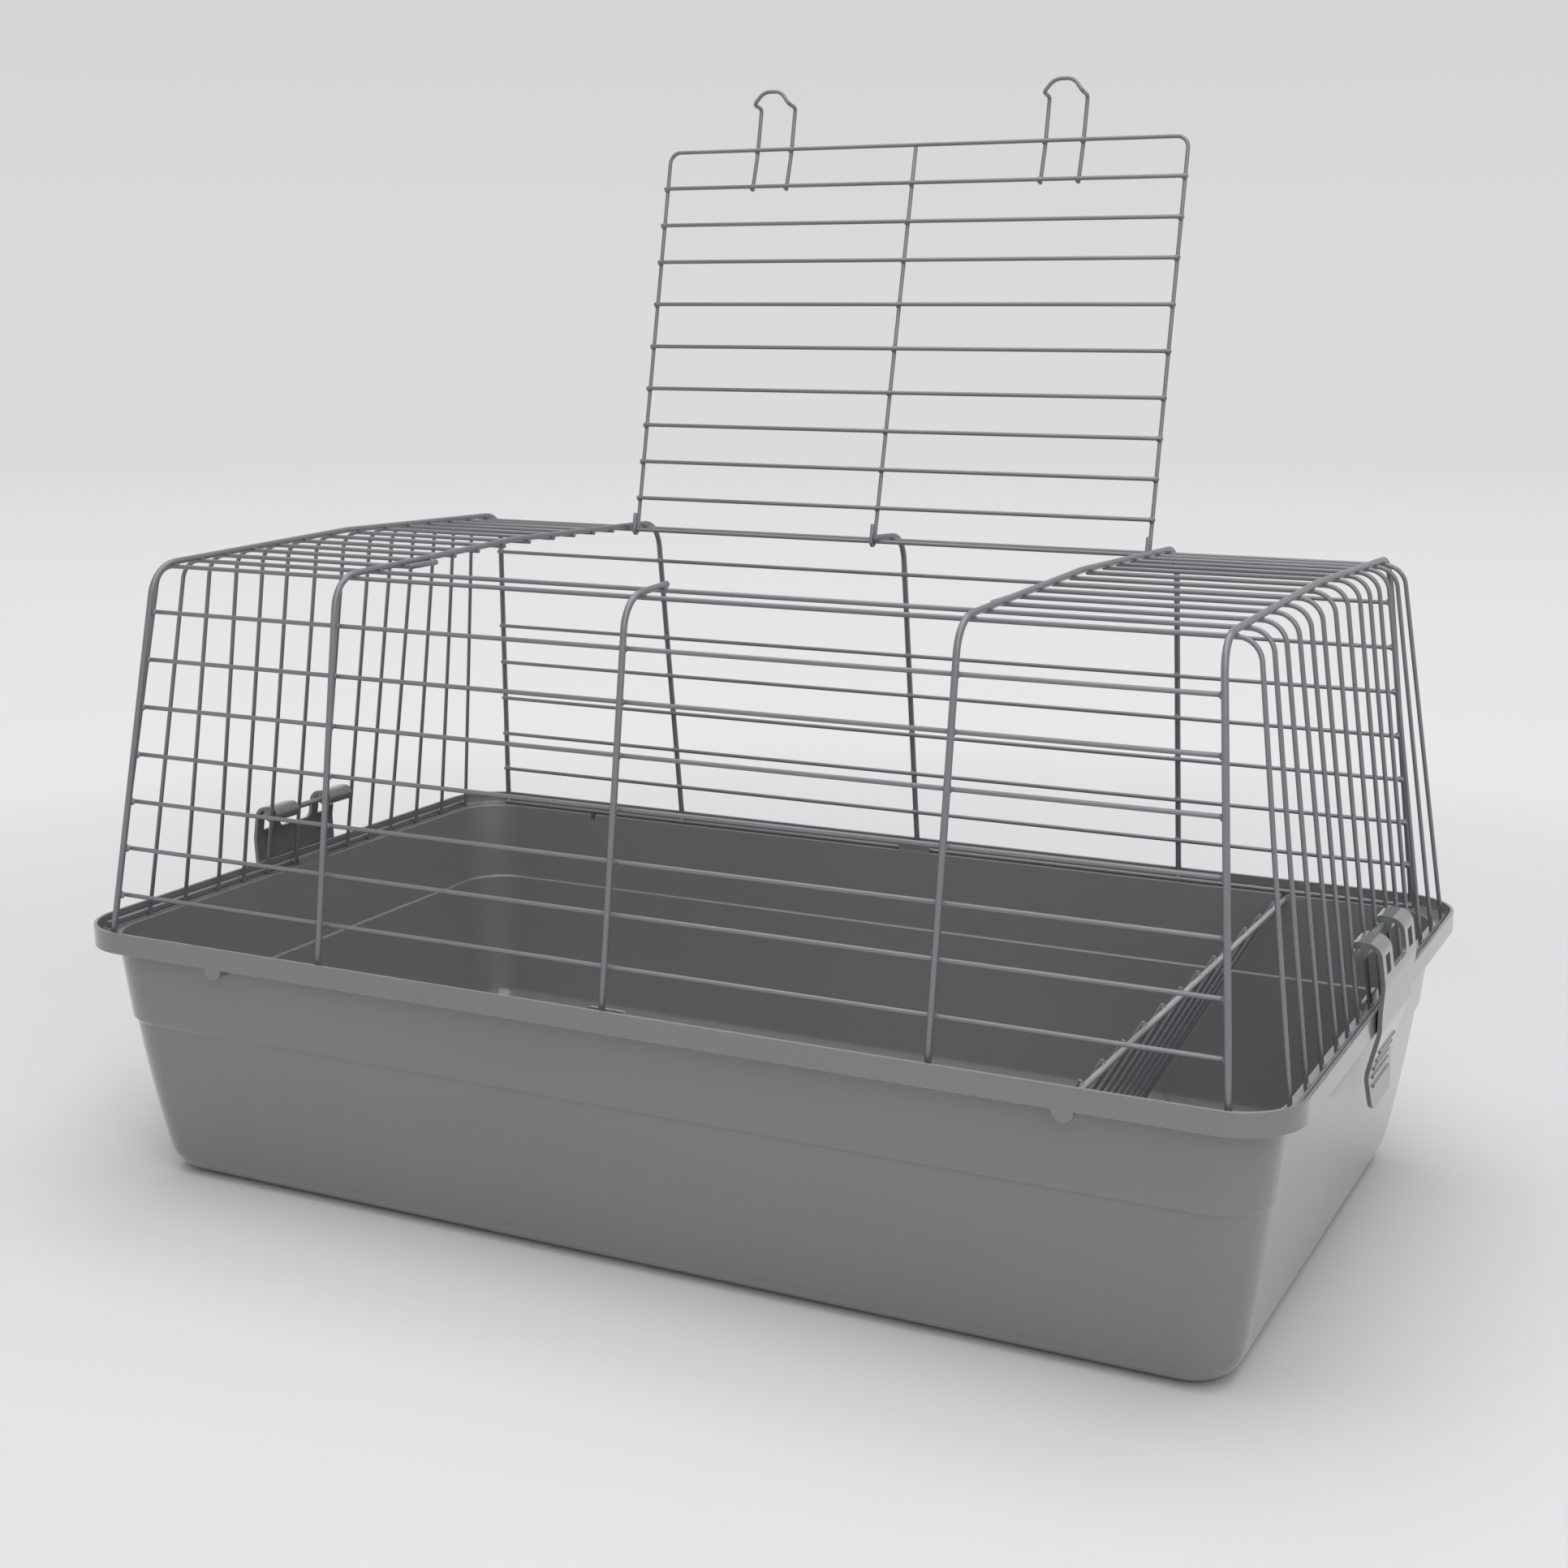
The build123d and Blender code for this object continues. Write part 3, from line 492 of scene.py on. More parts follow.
# %% Lines of the hoops
HOOP_R, HOOP_SIDES = 0.0020, 16
WIRE_R = 0.0014
FLAT_SHARE = math.cos(math.pi / 6)
WELD_GAP = 0.00005
HOOP_TO_WIRE = HOOP_R * FLAT_SHARE + WIRE_R + WELD_GAP
CROWN_TOP = 0.4132
CROWN_RISE = 0.00563
SHOULDER_INSET = 0.0407
CROWN_SPAN = HALF_DEPTH - SHOULDER_INSET
CROWN_R = (CROWN_SPAN**2 + CROWN_RISE**2) / (2 * CROWN_RISE)
LEG_INSET = 0.006
LEG_FOOT = HALF_DEPTH - LEG_INSET
LEG_LEAN = (LEG_FOOT - CROWN_SPAN) / (CROWN_TOP - CROWN_RISE - LEDGE)
END_HOOP_INSET = 0.0329
END_HOOP_FOOT = HALF_LENGTH - END_HOOP_INSET
END_HOOP_LEAN = 0.091
SHOULDER_R = 0.022


def middle(ends):
    """The middle of a box, from its lowest and highest corners."""
    return [(low + high) / 2 for low, high in zip(*ends)]


bay_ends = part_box("hoop_right")
BAY_X = middle(bay_ends)[0]
hoop_foot_z = bay_ends[0][2]


def roof_z(y):
    return CROWN_TOP - CROWN_R + math.sqrt(CROWN_R**2 - y**2)


def leg_y(z):
    return LEG_FOOT - LEG_LEAN * (z - LEDGE)


def end_hoop_x(z):
    return END_HOOP_FOOT - END_HOOP_LEAN * (z - LEDGE)


def bay_hoop_x(z):
    return BAY_X


print("hoops stand at x", round(BAY_X, 4), "and", round(end_hoop_x(LEDGE), 4), "m")

# %% [markdown]
# A hoop is one wire with three bends. Its shoulders are tight. The crown is one more bend, round
# a very large former, between two tangents that meet above the middle, so the same bender makes
# all three.

# %% Bend the hoops


def shoulder():
    """Where a leg would meet the tangent of the crowned roof, and the top of that tangent."""
    touch = CROWN_SPAN - SHOULDER_R
    fall = touch / math.sqrt(CROWN_R**2 - touch**2)
    apex_z = roof_z(touch) + touch * fall
    y = (LEG_FOOT - LEG_LEAN * (apex_z - LEDGE)) / (1 - LEG_LEAN * fall)
    return y, apex_z - fall * y, apex_z


def hoop(x_at):
    y, z, apex_z = shoulder()
    foot = leg_y(hoop_foot_z)
    line = [(-foot, hoop_foot_z), (-y, z), (0, apex_z), (y, z), (foot, hoop_foot_z)]
    corners = [(x_at(height), across, height) for across, height in line]
    return bend_wire(corners, [SHOULDER_R, CROWN_R, SHOULDER_R], HOOP_R, HOOP_SIDES)


bay_hoop = gather("right_hoop_wire", [hoop(bay_hoop_x)])
end_hoop = gather("far_right_hoop_wire", [hoop(end_hoop_x)])
wire_top = {
    "hoop_right": bay_hoop,
    "hoop_left": mirror_copy(bay_hoop, "left_hoop_wire", 0),
    "hoop_far_right": end_hoop,
    "hoop_far_left": mirror_copy(end_hoop, "far_left_hoop_wire", 0),
}

# %% [markdown]
# The middle hoop is only two uprights, because the roof door takes the middle of the roof. Each
# ends just past the rail beside the door. It is the same leg and shoulder with the run cut short.

# %% Middle uprights
RAIL_INSET = 0.0845
RAIL_Y = HALF_DEPTH - RAIL_INSET
upright_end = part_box("middle_rear_upright")[0][1]


def upright():
    y, z, _ = shoulder()
    foot = leg_y(hoop_foot_z)
    corners = [(0, upright_end, roof_z(upright_end)), (0, y, z), (0, foot, hoop_foot_z)]
    return bend_wire(corners, [SHOULDER_R], HOOP_R, HOOP_SIDES)


rear_upright = gather("rear_upright_wire", [upright()])
wire_top["middle_rear_upright"] = rear_upright
wire_top["middle_front_upright"] = mirror_copy(rear_upright, "front_upright_wire", 1)

# %% [markdown]
# Level rows of thin wire run along the front and back, on the inside of the legs where an animal
# can't push them off their welds. They get a little shorter upwards, because the end hoops lean
# in, so each is cut to its own length. The back is the front turned over.

# %% Rows along the front and back
ROW_COUNT = 7
ROW_FIRST = 0.0290
ROW_PITCH = 0.0302
ROW_STUB = 0.0008
bottom_row_z = LEDGE + WELD_GAP + WIRE_R
row_heights = [bottom_row_z + ROW_FIRST + ROW_PITCH * i for i in range(ROW_COUNT)]


def row_y(z):
    return leg_y(z) - HOOP_TO_WIRE * math.hypot(1, LEG_LEAN)


def front_row(z):
    reach = end_hoop_x(z) + ROW_STUB
    return bend_wire([(-reach, -row_y(z), z), (reach, -row_y(z), z)], [], WIRE_R)


front_rows = gather("front_row_wires", [front_row(z) for z in row_heights])
front_bottom = gather("front_bottom_row", [front_row(bottom_row_z)])
wire_top["front_rows"] = front_rows
wire_top["rear_rows"] = mirror_copy(front_rows, "rear_row_wires", 1)
wire_top["front_bottom_wire"] = front_bottom
wire_top["rear_bottom_wire"] = mirror_copy(front_bottom, "rear_bottom_row", 1)

# %% [markdown]
# Thin wires cross the roof under the hoops and turn down both ends. The outer ones splay as they
# go down, towards the corners of the tray. As with the hoops, their lines come first: how high a
# wire runs under the crown, how far the ends lean in and where each foot stands.

# %% Lines of the roof wires
CENTRE_PITCH = 0.0310
RAIL_GAP = 0.0250
SIDE_WIRES = 3
SIDE_PITCH = (RAIL_Y - RAIL_GAP - CENTRE_PITCH * 1.5) / SIDE_WIRES
EDGE_INSET = 0.0600
EDGE_Y = HALF_DEPTH - EDGE_INSET
END_INSET = 0.0084
END_FOOT = HALF_LENGTH - END_INSET
END_LEAN = 0.138
END_BEND_R = 0.0140
SPLAY_SHARE, SPLAY_START = 0.4, 0.0425
SPLAY_FROM = RAIL_Y - SPLAY_START
end_foot_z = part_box("left_roof_wires")[0][2]
roof_offsets = [CENTRE_PITCH * 0.5, CENTRE_PITCH * 1.5]
roof_offsets += [CENTRE_PITCH * 1.5 + SIDE_PITCH * (i + 1) for i in range(SIDE_WIRES)]
roof_ys = [-y for y in reversed(roof_offsets)] + roof_offsets


def roof_wire_z(y):
    return roof_z(y) - HOOP_TO_WIRE


def end_wire_x(z):
    return END_FOOT - END_LEAN * (z - LEDGE)


def splayed(y):
    return math.copysign(abs(y) + SPLAY_SHARE * max(0, abs(y) - SPLAY_FROM), y)


print("roof wires at", [round(1000 * y, 1) for y in roof_ys], "mm")

# %% [markdown]
# Four of the roof wires run from end to end. The ten between them stop at the door bay, so those
# of one end are bent once and turned over for the other.

# %% Roof and end wires
ROOF_STUB = 0.0026
REST_R = 0.0018
RESTED_WIRES = 2
rest_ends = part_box("right_door_rest")
rest_x, _, rest_z = middle(rest_ends)


def end_corners(y):
    """The corner over the end and the foot on the ledge of one wire, at the right-hand end."""
    top = roof_wire_z(y)
    return [(end_wire_x(top), y, top), (end_wire_x(end_foot_z), splayed(y), end_foot_z)]


def roof_wire(y):
    """The front ones stop at the rod that the closed door lies on, the rest at the bay's hoop."""
    start_x = rest_x + REST_R if y in roof_ys[:RESTED_WIRES] else BAY_X - ROOF_STUB
    return bend_wire([(start_x, y, roof_wire_z(y))] + end_corners(y), [END_BEND_R], WIRE_R)


def end_to_end(y):
    right = end_corners(y)
    left = [(-x, across, z) for x, across, z in reversed(right)]
    return bend_wire(left + right, [END_BEND_R, END_BEND_R], WIRE_R)


right_roof = gather("right_roof_and_end_wires", [roof_wire(y) for y in roof_ys])
edge_wire = gather("front_edge_roof_wire", [end_to_end(-EDGE_Y)])
rail = gather("front_rail_wire", [end_to_end(-RAIL_Y)])
wire_top["right_roof_wires"] = right_roof
wire_top["left_roof_wires"] = mirror_copy(right_roof, "left_roof_and_end_wires", 0)
wire_top["front_edge_wire"] = edge_wire
wire_top["rear_edge_wire"] = mirror_copy(edge_wire, "rear_edge_roof_wire", 1)
wire_top["front_rail"] = rail
wire_top["hinge_rail"] = mirror_copy(rail, "hinge_rail_wire", 1)

# %% [markdown]
# Short straight wires finish the ends: a foot wire that ties the feet of the end wires together
# just above the ledge, and two short rods on the roof on which the closed door lies. The thick
# bars that the latches turn on are round in the CAD already, so they keep their shape and only
# get a finish later.

# %% Foot wires and door rests
foot_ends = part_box("right_foot_wire")
foot_x, _, foot_z = middle(foot_ends)


def straight_wire(ends, wire_r):
    """A wire from front to back through the middle of a box."""
    x, _, z = middle(ends)
    return bend_wire([(x, end[1], z) for end in ends], [], wire_r)


foot_wire = gather("right_end_foot_wire", [straight_wire(foot_ends, WIRE_R)])
rest = gather("right_rest_rod", [straight_wire(rest_ends, REST_R)])
wire_top["right_foot_wire"] = foot_wire
wire_top["left_foot_wire"] = mirror_copy(foot_wire, "left_end_foot_wire", 0)
wire_top["right_door_rest"] = rest
wire_top["left_door_rest"] = mirror_copy(rest, "left_rest_rod", 0)
for node, piece in wire_top.items():
    stand_for(piece, node, "cage")

# %% [markdown]
# The door is drawn lying closed, with the hinge rail as its X axis, and every corner is then
# swung up to where the open door stands. One wire goes round three sides and ends in a hook at
# each side. A second wire down the middle has the same hook and stands slightly askew.

# %% Door frame and centre wire
DOOR_OPEN = math.radians(101.8)
DOOR_SIDE_GAP = 0.0066
DOOR_CORNER_R = 0.0080
DOOR_ROW_SHIFT = 0.0014
DOOR_CENTRE_X = -0.0040
DOOR_CENTRE_SKEW = 0.0040
HOOK_TAIL, HOOK_PLAY = 0.0120, 0.0001
HOOK_R = WIRE_R * (1 + FLAT_SHARE) + HOOK_PLAY
WIRE_TO_WIRE = WIRE_R * (1 + FLAT_SHARE) + WELD_GAP
HOOK_CORNER = 0.99
hinge_z = roof_wire_z(RAIL_Y)
swing_open = Matrix.Translation((0, RAIL_Y, hinge_z)) @ Matrix.Rotation(-DOOR_OPEN, 4, "X")
side_x = BAY_X - DOOR_SIDE_GAP
row_reaches = [RAIL_Y - y - DOOR_ROW_SHIFT for y in roof_ys]
front_reach = row_reaches[0]


def door_wire(corners, radii):
    return bend_wire([swing_open @ Vector(corner) for corner in corners], radii, WIRE_R)


def hook(x):
    """Corners of the half turn round the rail, from the end of its tail to its top."""
    return [(x, -HOOK_TAIL, -HOOK_R), (x, HOOK_R, -HOOK_R), (x, HOOK_R, HOOK_R)]


half_turn = [HOOK_R * HOOK_CORNER, HOOK_R * HOOK_CORNER]
front_corners = [(-side_x, -front_reach, HOOK_R), (side_x, -front_reach, HOOK_R)]
frame_corners = hook(-side_x) + front_corners + list(reversed(hook(side_x)))
frame_radii = half_turn + [DOOR_CORNER_R, DOOR_CORNER_R] + half_turn
centre_reach = front_reach - WIRE_R - WELD_GAP
centre_end = (DOOR_CENTRE_X + DOOR_CENTRE_SKEW, -centre_reach, HOOK_R)
centre_corners = hook(DOOR_CENTRE_X) + [centre_end]
door = {
    "door_frame": gather("door_frame_wire", [door_wire(frame_corners, frame_radii)]),
    "door_centre_wire": gather("door_middle_wire", [door_wire(centre_corners, half_turn)]),
}

# %% [markdown]
# Nine rows cross under the door's frame. Two spring loops stand out past its front edge. When the
# door is closed they ride over the front rail and drop in front of it, so each has a step and a
# rounded tip.

# %% Door rows and spring loops
LOOP_X = 0.1103
LOOP_SHIFT = -0.0018
LOOP_HALF = 0.0136
LOOP_STEP = 0.0118
LOOP_PAST_RAIL = 0.0038
LOOP_TIP = 0.0088
LOOP_TIP_TAPER = 0.0068
LOOP_RADII = [0.030, 0.0026, 0.0026, 0.010]
row_level = HOOK_R - WIRE_TO_WIRE
row_end = side_x + WIRE_R
last_row = max(row_reaches[1:])
climb_end = front_reach - 2 * WIRE_R
leg_high = HOOK_R + WIRE_TO_WIRE
leg_slope = (leg_high - HOOK_R) / (climb_end - last_row)
drop = RAIL_Y * 2 + LOOP_PAST_RAIL


def door_row(reach):
    return door_wire([(-row_end, -reach, row_level), (row_end, -reach, row_level)], [])


def loop_leg(x, taper):
    return [
        (x, -(last_row - 2 * WIRE_R), HOOK_R - leg_slope * 2 * WIRE_R),
        (x, -climb_end, leg_high),
        (x, -drop, leg_high),
        (x, -drop, leg_high - LOOP_STEP),
        (x + taper, -drop - LOOP_TIP, leg_high - LOOP_STEP),
    ]


def spring_loop(x):
    near = loop_leg(x - LOOP_HALF, LOOP_TIP_TAPER)
    far = loop_leg(x + LOOP_HALF, -LOOP_TIP_TAPER)
    return door_wire(near + list(reversed(far)), LOOP_RADII + list(reversed(LOOP_RADII)))


door["door_rows"] = gather("door_row_wires", [door_row(reach) for reach in row_reaches[1:]])
door["left_door_loop"] = gather("left_spring_loop", [spring_loop(LOOP_SHIFT - LOOP_X)])
door["right_door_loop"] = gather("right_spring_loop", [spring_loop(LOOP_SHIFT + LOOP_X)])
for node, piece in door.items():
    stand_for(piece, node, "door")

# %% [markdown]
# The rack leans in from two seats in the rim and holds hay against the end. Its rail is round in
# the CAD, so only the thin wires are bent again: ten straight ones, a slanting one at each edge
# and the foot wire that they are welded to.

# %% Rack wires
RACK_LEAN = math.radians(28.5)
RACK_STUB = 0.0025
RACK_WIRES_A_SIDE = 5
RACK_TOP_INSET = 0.0346
RACK_FOOT_INSET = 0.0570
rail_x, _, rail_z = middle(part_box("rack_rail"))
rack_down = Vector((-math.sin(RACK_LEAN), 0, -math.cos(RACK_LEAN)))
rack_face = Vector((-rack_down.z, 0, rack_down.x))
BAR_TO_WIRE = HOOP_R + WIRE_R * FLAT_SHARE + WELD_GAP
wire_line = Vector((rail_x, 0, rail_z)) - rack_face * BAR_TO_WIRE
rack_foot_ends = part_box("rack_foot_wire")
rack_foot_x, _, rack_foot_z = middle(rack_foot_ends)
rack_length = (Vector((rack_foot_x, 0, rack_foot_z)) - wire_line).dot(rack_down)
rack_top = wire_line - rack_down * RACK_STUB
rack_low = wire_line + rack_down * (rack_length + WIRE_R)
rack_edge_top = HALF_DEPTH - RACK_TOP_INSET
rack_edge_foot = HALF_DEPTH - RACK_FOOT_INSET
rack_pitch = 2 * rack_edge_top / (2 * RACK_WIRES_A_SIDE + 1)


def rack_wire(top_y, low_y):
    ends = [(rack_top.x, top_y, rack_top.z), (rack_low.x, low_y, rack_low.z)]
    return bend_wire(ends, [], WIRE_R)


rack_ys = [side * rack_pitch * (i + 0.5) for i in range(RACK_WIRES_A_SIDE) for side in (-1, 1)]
rack_lines = [(y, y) for y in rack_ys]
rack_lines += [(side * rack_edge_top, side * rack_edge_foot) for side in (-1, 1)]
rack_wires = [rack_wire(top_y, low_y) for top_y, low_y in rack_lines]
rack = {
    "rack_wires": gather("rack_upright_wires", rack_wires),
    "rack_foot_wire": gather("rack_floor_wire", [straight_wire(rack_foot_ends, WIRE_R)]),
}
for node, piece in rack.items():
    stand_for(piece, node, "rack")

# %% [markdown]
# Where wires cross they are pressed together hot and melt a little way into each other. The bead
# that comes out rounds the corner between them and catches the light. One bead is shaped, with
# few faces because there are more than two hundred, and a copy is laid flat between the wires at
# every crossing.

# %% Weld beads
BEAD_HALF = 0.0023
BEAD_FLAT = 0.0013
BEAD_WAIST = 1.12
BEAD_SEGMENTS, BEAD_RINGS = 8, 6


def weld_bead():
    bpy.ops.object.select_all(action="DESELECT")
    ball = {"segments": BEAD_SEGMENTS, "ring_count": BEAD_RINGS, "radius": BEAD_HALF}
    bpy.ops.mesh.primitive_uv_sphere_add(**ball)
    bpy.ops.object.mode_set(mode="EDIT")
    bpy.ops.mesh.select_all(action="SELECT")
    bpy.ops.transform.resize(value=(1, 1, BEAD_FLAT / BEAD_HALF))
    pick(lambda p: abs(p.co.z) < BEAD_FLAT / 10)
    bpy.ops.transform.resize(value=(BEAD_WAIST, BEAD_WAIST, 1))
    bpy.ops.object.mode_set(mode="OBJECT")
    bpy.ops.object.shade_smooth()
    return bpy.context.object


def weld_crossings(name, crossings, body):
    """Beads at places, each flat across the line from one wire to the other, as one piece."""
    bead = weld_bead()
    beads = [bead]
    for _ in crossings[1:]:
        select_only(bead)
        bpy.ops.object.duplicate()
        beads.append(bpy.context.object)
    for copy, (place, along, through) in zip(beads, crossings):
        out = Vector(through).normalized()
        side = out.cross(Vector(along)).normalized()
        facing = Matrix((side.cross(out), side, out)).transposed().to_4x4()
        copy.matrix_world = Matrix.Translation(place) @ facing
    piece = join(*beads)
    piece.name = name
    bpy.ops.object.transform_apply(location=True, rotation=True, scale=True)
    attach(piece, body)
    print(name, len(crossings), "crossings")
    return piece


# %% [markdown]
# A bead sits between two wires, nearer to the middle of the thinner one. Most of them lie on the
# rows and the roof wires, where those cross the hoops. Their places come from the same lines that
# the wires were bent along, so no crossing has to be searched for.

# %% Welds of the rows and the roof
END_BEAD_SET = 0.0014
HOOP_SHARE = HOOP_R / (HOOP_R + WIRE_R)


def part_way(first, second, share):
    return Vector(first).lerp(Vector(second), share)


roof_lines = roof_ys + [-EDGE_Y, -RAIL_Y, RAIL_Y, EDGE_Y]
top_welds = []
for z in [bottom_row_z] + row_heights:
    end_x = end_hoop_x(z) - END_BEAD_SET
    for x in (-end_x, -BAY_X, 0, BAY_X, end_x):
        for side in (-1, 1):
            place = part_way((x, side * leg_y(z), z), (x, side * row_y(z), z), HOOP_SHARE)
            top_welds.append((place, (1, 0, 0), (0, side, LEG_LEAN)))
for y in roof_lines:
    end_x = end_hoop_x(roof_z(y))
    hoop_xs = [-end_x, -BAY_X, BAY_X, end_x] + ([0] if abs(y) >= RAIL_Y else [])
    for x in hoop_xs:
        place = part_way((x, y, roof_z(y)), (x, y, roof_wire_z(y)), HOOP_SHARE)
        top_welds.append((place, (1, 0, 0), (0, 0, 1)))
print("welds along the rows and the roof", len(top_welds))

# %% [markdown]
# The ends, the door and the rack follow the same rule. The door's crossings are worked out on the
# closed door and swung up with it.

# %% Welds of the ends, the door and the rack
bar_x, _, bar_z = middle(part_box("right_latch_bar"))
BAR_REACH = CENTRE_PITCH * 1.6
bar_ys = [y for y in roof_ys if abs(y) < BAR_REACH]
for side in (-1, 1):
    for y in roof_lines:
        fall = (roof_wire_z(y) - foot_z) / (roof_wire_z(y) - end_foot_z)
        foot_y = y + (splayed(y) - y) * fall
        end_wire = (side * end_wire_x(foot_z), foot_y, foot_z)
        place = part_way(end_wire, (side * foot_x, foot_y, foot_z), 0.5)
        top_welds.append((place, (0, 1, 0), (side, 0, END_LEAN)))
    for y in bar_ys:
        end_wire = (side * end_wire_x(bar_z), y, bar_z)
        place = part_way((side * bar_x, y, bar_z), end_wire, HOOP_SHARE)
        top_welds.append((place, (0, 1, 0), (side, 0, END_LEAN)))

closed_welds = []
for reach in row_reaches[1:]:
    centre_x = DOOR_CENTRE_X + DOOR_CENTRE_SKEW * reach / centre_reach
    for x in (-side_x, centre_x, side_x):
        closed_welds.append((x, -reach, (row_level + HOOK_R) / 2))
for loop_x in (LOOP_SHIFT - LOOP_X, LOOP_SHIFT + LOOP_X):
    for x in (loop_x - LOOP_HALF, loop_x + LOOP_HALF):
        closed_welds.append((x, -last_row, (row_level + HOOK_R) / 2))
        closed_welds.append((x, -front_reach, (leg_high + HOOK_R) / 2))
turned = swing_open.to_3x3()
along, out = turned @ Vector((1, 0, 0)), turned @ Vector((0, 0, 1))
door_welds = [(swing_open @ Vector(place), along, out) for place in closed_welds]

rack_welds = []
for top_y, low_y in rack_lines:
    rail_spot = Vector((rail_x, top_y, rail_z)) - rack_face * HOOP_R
    foot_spot = Vector((rack_foot_x, low_y, rack_foot_z)) - rack_face * WIRE_R
    rack_welds += [(spot, (0, 1, 0), rack_face) for spot in (rail_spot, foot_spot)]
wire_top["welds"] = weld_crossings("weld_beads_top", top_welds, "cage")
door["welds"] = weld_crossings("weld_beads_door", door_welds, "door")
rack["welds"] = weld_crossings("weld_beads_rack", rack_welds, "rack")

# %% [markdown]
# The latches keep the shape they have in the CAD, but a moulding has no knife edges. A copy of
# the strap is taken, its loose facets are merged and the flat ones dissolved. Then every edge
# gets the same small radius, which shows as a bright line along the strap.

# %% Soften the latches
LATCH_EDGE, LATCH_ANGLE = 0.0005, math.radians(35)
FLAT_ANGLE = math.radians(0.5)


def softened_latch(node, name):
    latch = bpy.data.objects.new(name, nodes[node].data.copy())
    bpy.context.collection.objects.link(latch)
    select_only(latch)
    bpy.ops.object.mode_set(mode="EDIT")
    bpy.ops.mesh.select_all(action="SELECT")
    bpy.ops.mesh.remove_doubles(threshold=TOUCHING)
    bpy.ops.mesh.dissolve_limited(angle_limit=FLAT_ANGLE)
    bpy.ops.object.mode_set(mode="OBJECT")
    soften(latch, LATCH_EDGE, segments=2, angle=LATCH_ANGLE)
    print(name, "softened,", len(latch.data.polygons), "faces")
    return latch


left_latch = softened_latch("left_latch", "left_snap_strap")
right_latch = softened_latch("right_latch", "right_snap_strap")

# %% [markdown]
# The split that lets a knuckle snap over its bar can't be seen from inside the cage, so it has to
# be underneath. The CAD has it on the inner side. Turning the knuckle would turn its arm as well,
# so a whole ring closes the split there, and a cut opens the knuckle again below the bar.

# %% Knuckles of the latches
KNUCKLE_R, KNUCKLE_BORE = 0.00565, 0.0022
KNUCKLE_NEAR, KNUCKLE_FAR = 0.0179, 0.0441
KNUCKLE_SPLIT = 0.0034
KNUCKLE_PAST = 0.002


def knuckle_ring(x, near, far):
    ring = boss(x, bar_z, near, far, KNUCKLE_R)
    bore = boss(x, bar_z, near - KNUCKLE_PAST, far + KNUCKLE_PAST, KNUCKLE_BORE)
    combine(ring, bore, "DIFFERENCE")
    soften(ring, LATCH_EDGE, segments=2, angle=LATCH_ANGLE)
    return ring


def split_below(latch, x):
    rings = [(-KNUCKLE_FAR, -KNUCKLE_NEAR), (KNUCKLE_NEAR, KNUCKLE_FAR)]
    combine(latch, join(*[knuckle_ring(x, near, far) for near, far in rings]), "UNION")
    half, end = KNUCKLE_SPLIT / 2, KNUCKLE_FAR + KNUCKLE_PAST
    split = block((x - half, -end, bar_z - KNUCKLE_R - KNUCKLE_PAST), (x + half, end, bar_z))
    bpy.ops.object.mode_set(mode="OBJECT")
    combine(latch, split, "DIFFERENCE")
    even_shading(latch)


split_below(left_latch, -bar_x)
split_below(right_latch, bar_x)
stand_for(left_latch, "left_latch", "left_latch")
stand_for(right_latch, "right_latch", "right_latch")

# %% [markdown]
# Finishes are built from shader nodes. Wiring nodes by hand hides the idea behind a tangle of
# links, so a small class wraps a socket: sums written on it add Math nodes, and one method adds
# any other node.

# %% Sums on shader sockets


class Tone:
    """A value that changes over a surface."""

    def __init__(self, tree, socket=None):
        self.tree = tree
        self.socket = socket

    def node(self, kind, settings=None, inputs=None, output=0):
        made = self.tree.nodes.new(kind)
        for name, value in (settings or {}).items():
            setattr(made, name, value)
        for name, value in (inputs or {}).items():
            if isinstance(value, Tone):
                self.tree.links.new(value.socket, made.inputs[name])
            else:
                made.inputs[name].default_value = value
        return Tone(self.tree, made.outputs[output])

    def math(self, operation, first, second):
        return self.node("ShaderNodeMath", {"operation": operation}, {0: first, 1: second})

    def __add__(self, other):
        return self.math("ADD", self, other)

    def __sub__(self, other):
        return self.math("SUBTRACT", self, other)

    def __rsub__(self, other):
        return self.math("SUBTRACT", other, self)

    def __mul__(self, other):
        return self.math("MULTIPLY", self, other)

    __radd__ = __add__
    __rmul__ = __mul__


# %% [markdown]
# A finish starts from Blender's main shader. A few words for what every finish does come next: a
# noise, a blend of two colours, a rise between two values, and links to the shader by the names
# of its sockets. Node groups could hold these too, but as functions they can be read beside their
# use.

# %% Noise, blends and links
BUMP_DEPTH = 0.0003


def new_finish(name):
    material = bpy.data.materials.new(name)
    material.use_nodes = True
    start = Tone(material.node_tree)
    shader = material.node_tree.nodes["Principled BSDF"]
    return material, shader, start


def noise(start, place, scale, detail):
    inputs = {"Vector": place, "Scale": scale, "Detail": detail}
    return start.node("ShaderNodeTexNoise", {}, inputs)


def bumps(start, height, strength):
    inputs = {"Height": height, "Strength": strength, "Distance": BUMP_DEPTH}
    return start.node("ShaderNodeBump", {}, inputs)


def blend(start, share, first, second):
    settings = {"data_type": "RGBA"}
    return start.node("ShaderNodeMix", settings, {0: share, 6: first, 7: second}, output=2)


def between(value, low, high):
    """Rises from 0 to 1 while a value goes from low to high."""
    limits = {"Value": value, "From Min": low, "From Max": high}
    return value.node("ShaderNodeMapRange", {}, limits)


def feed_shader(shader, **tones):
    for name, tone in tones.items():
        socket = shader.inputs[name.replace("_", " ").title()]
        tone.tree.links.new(tone.socket, socket)


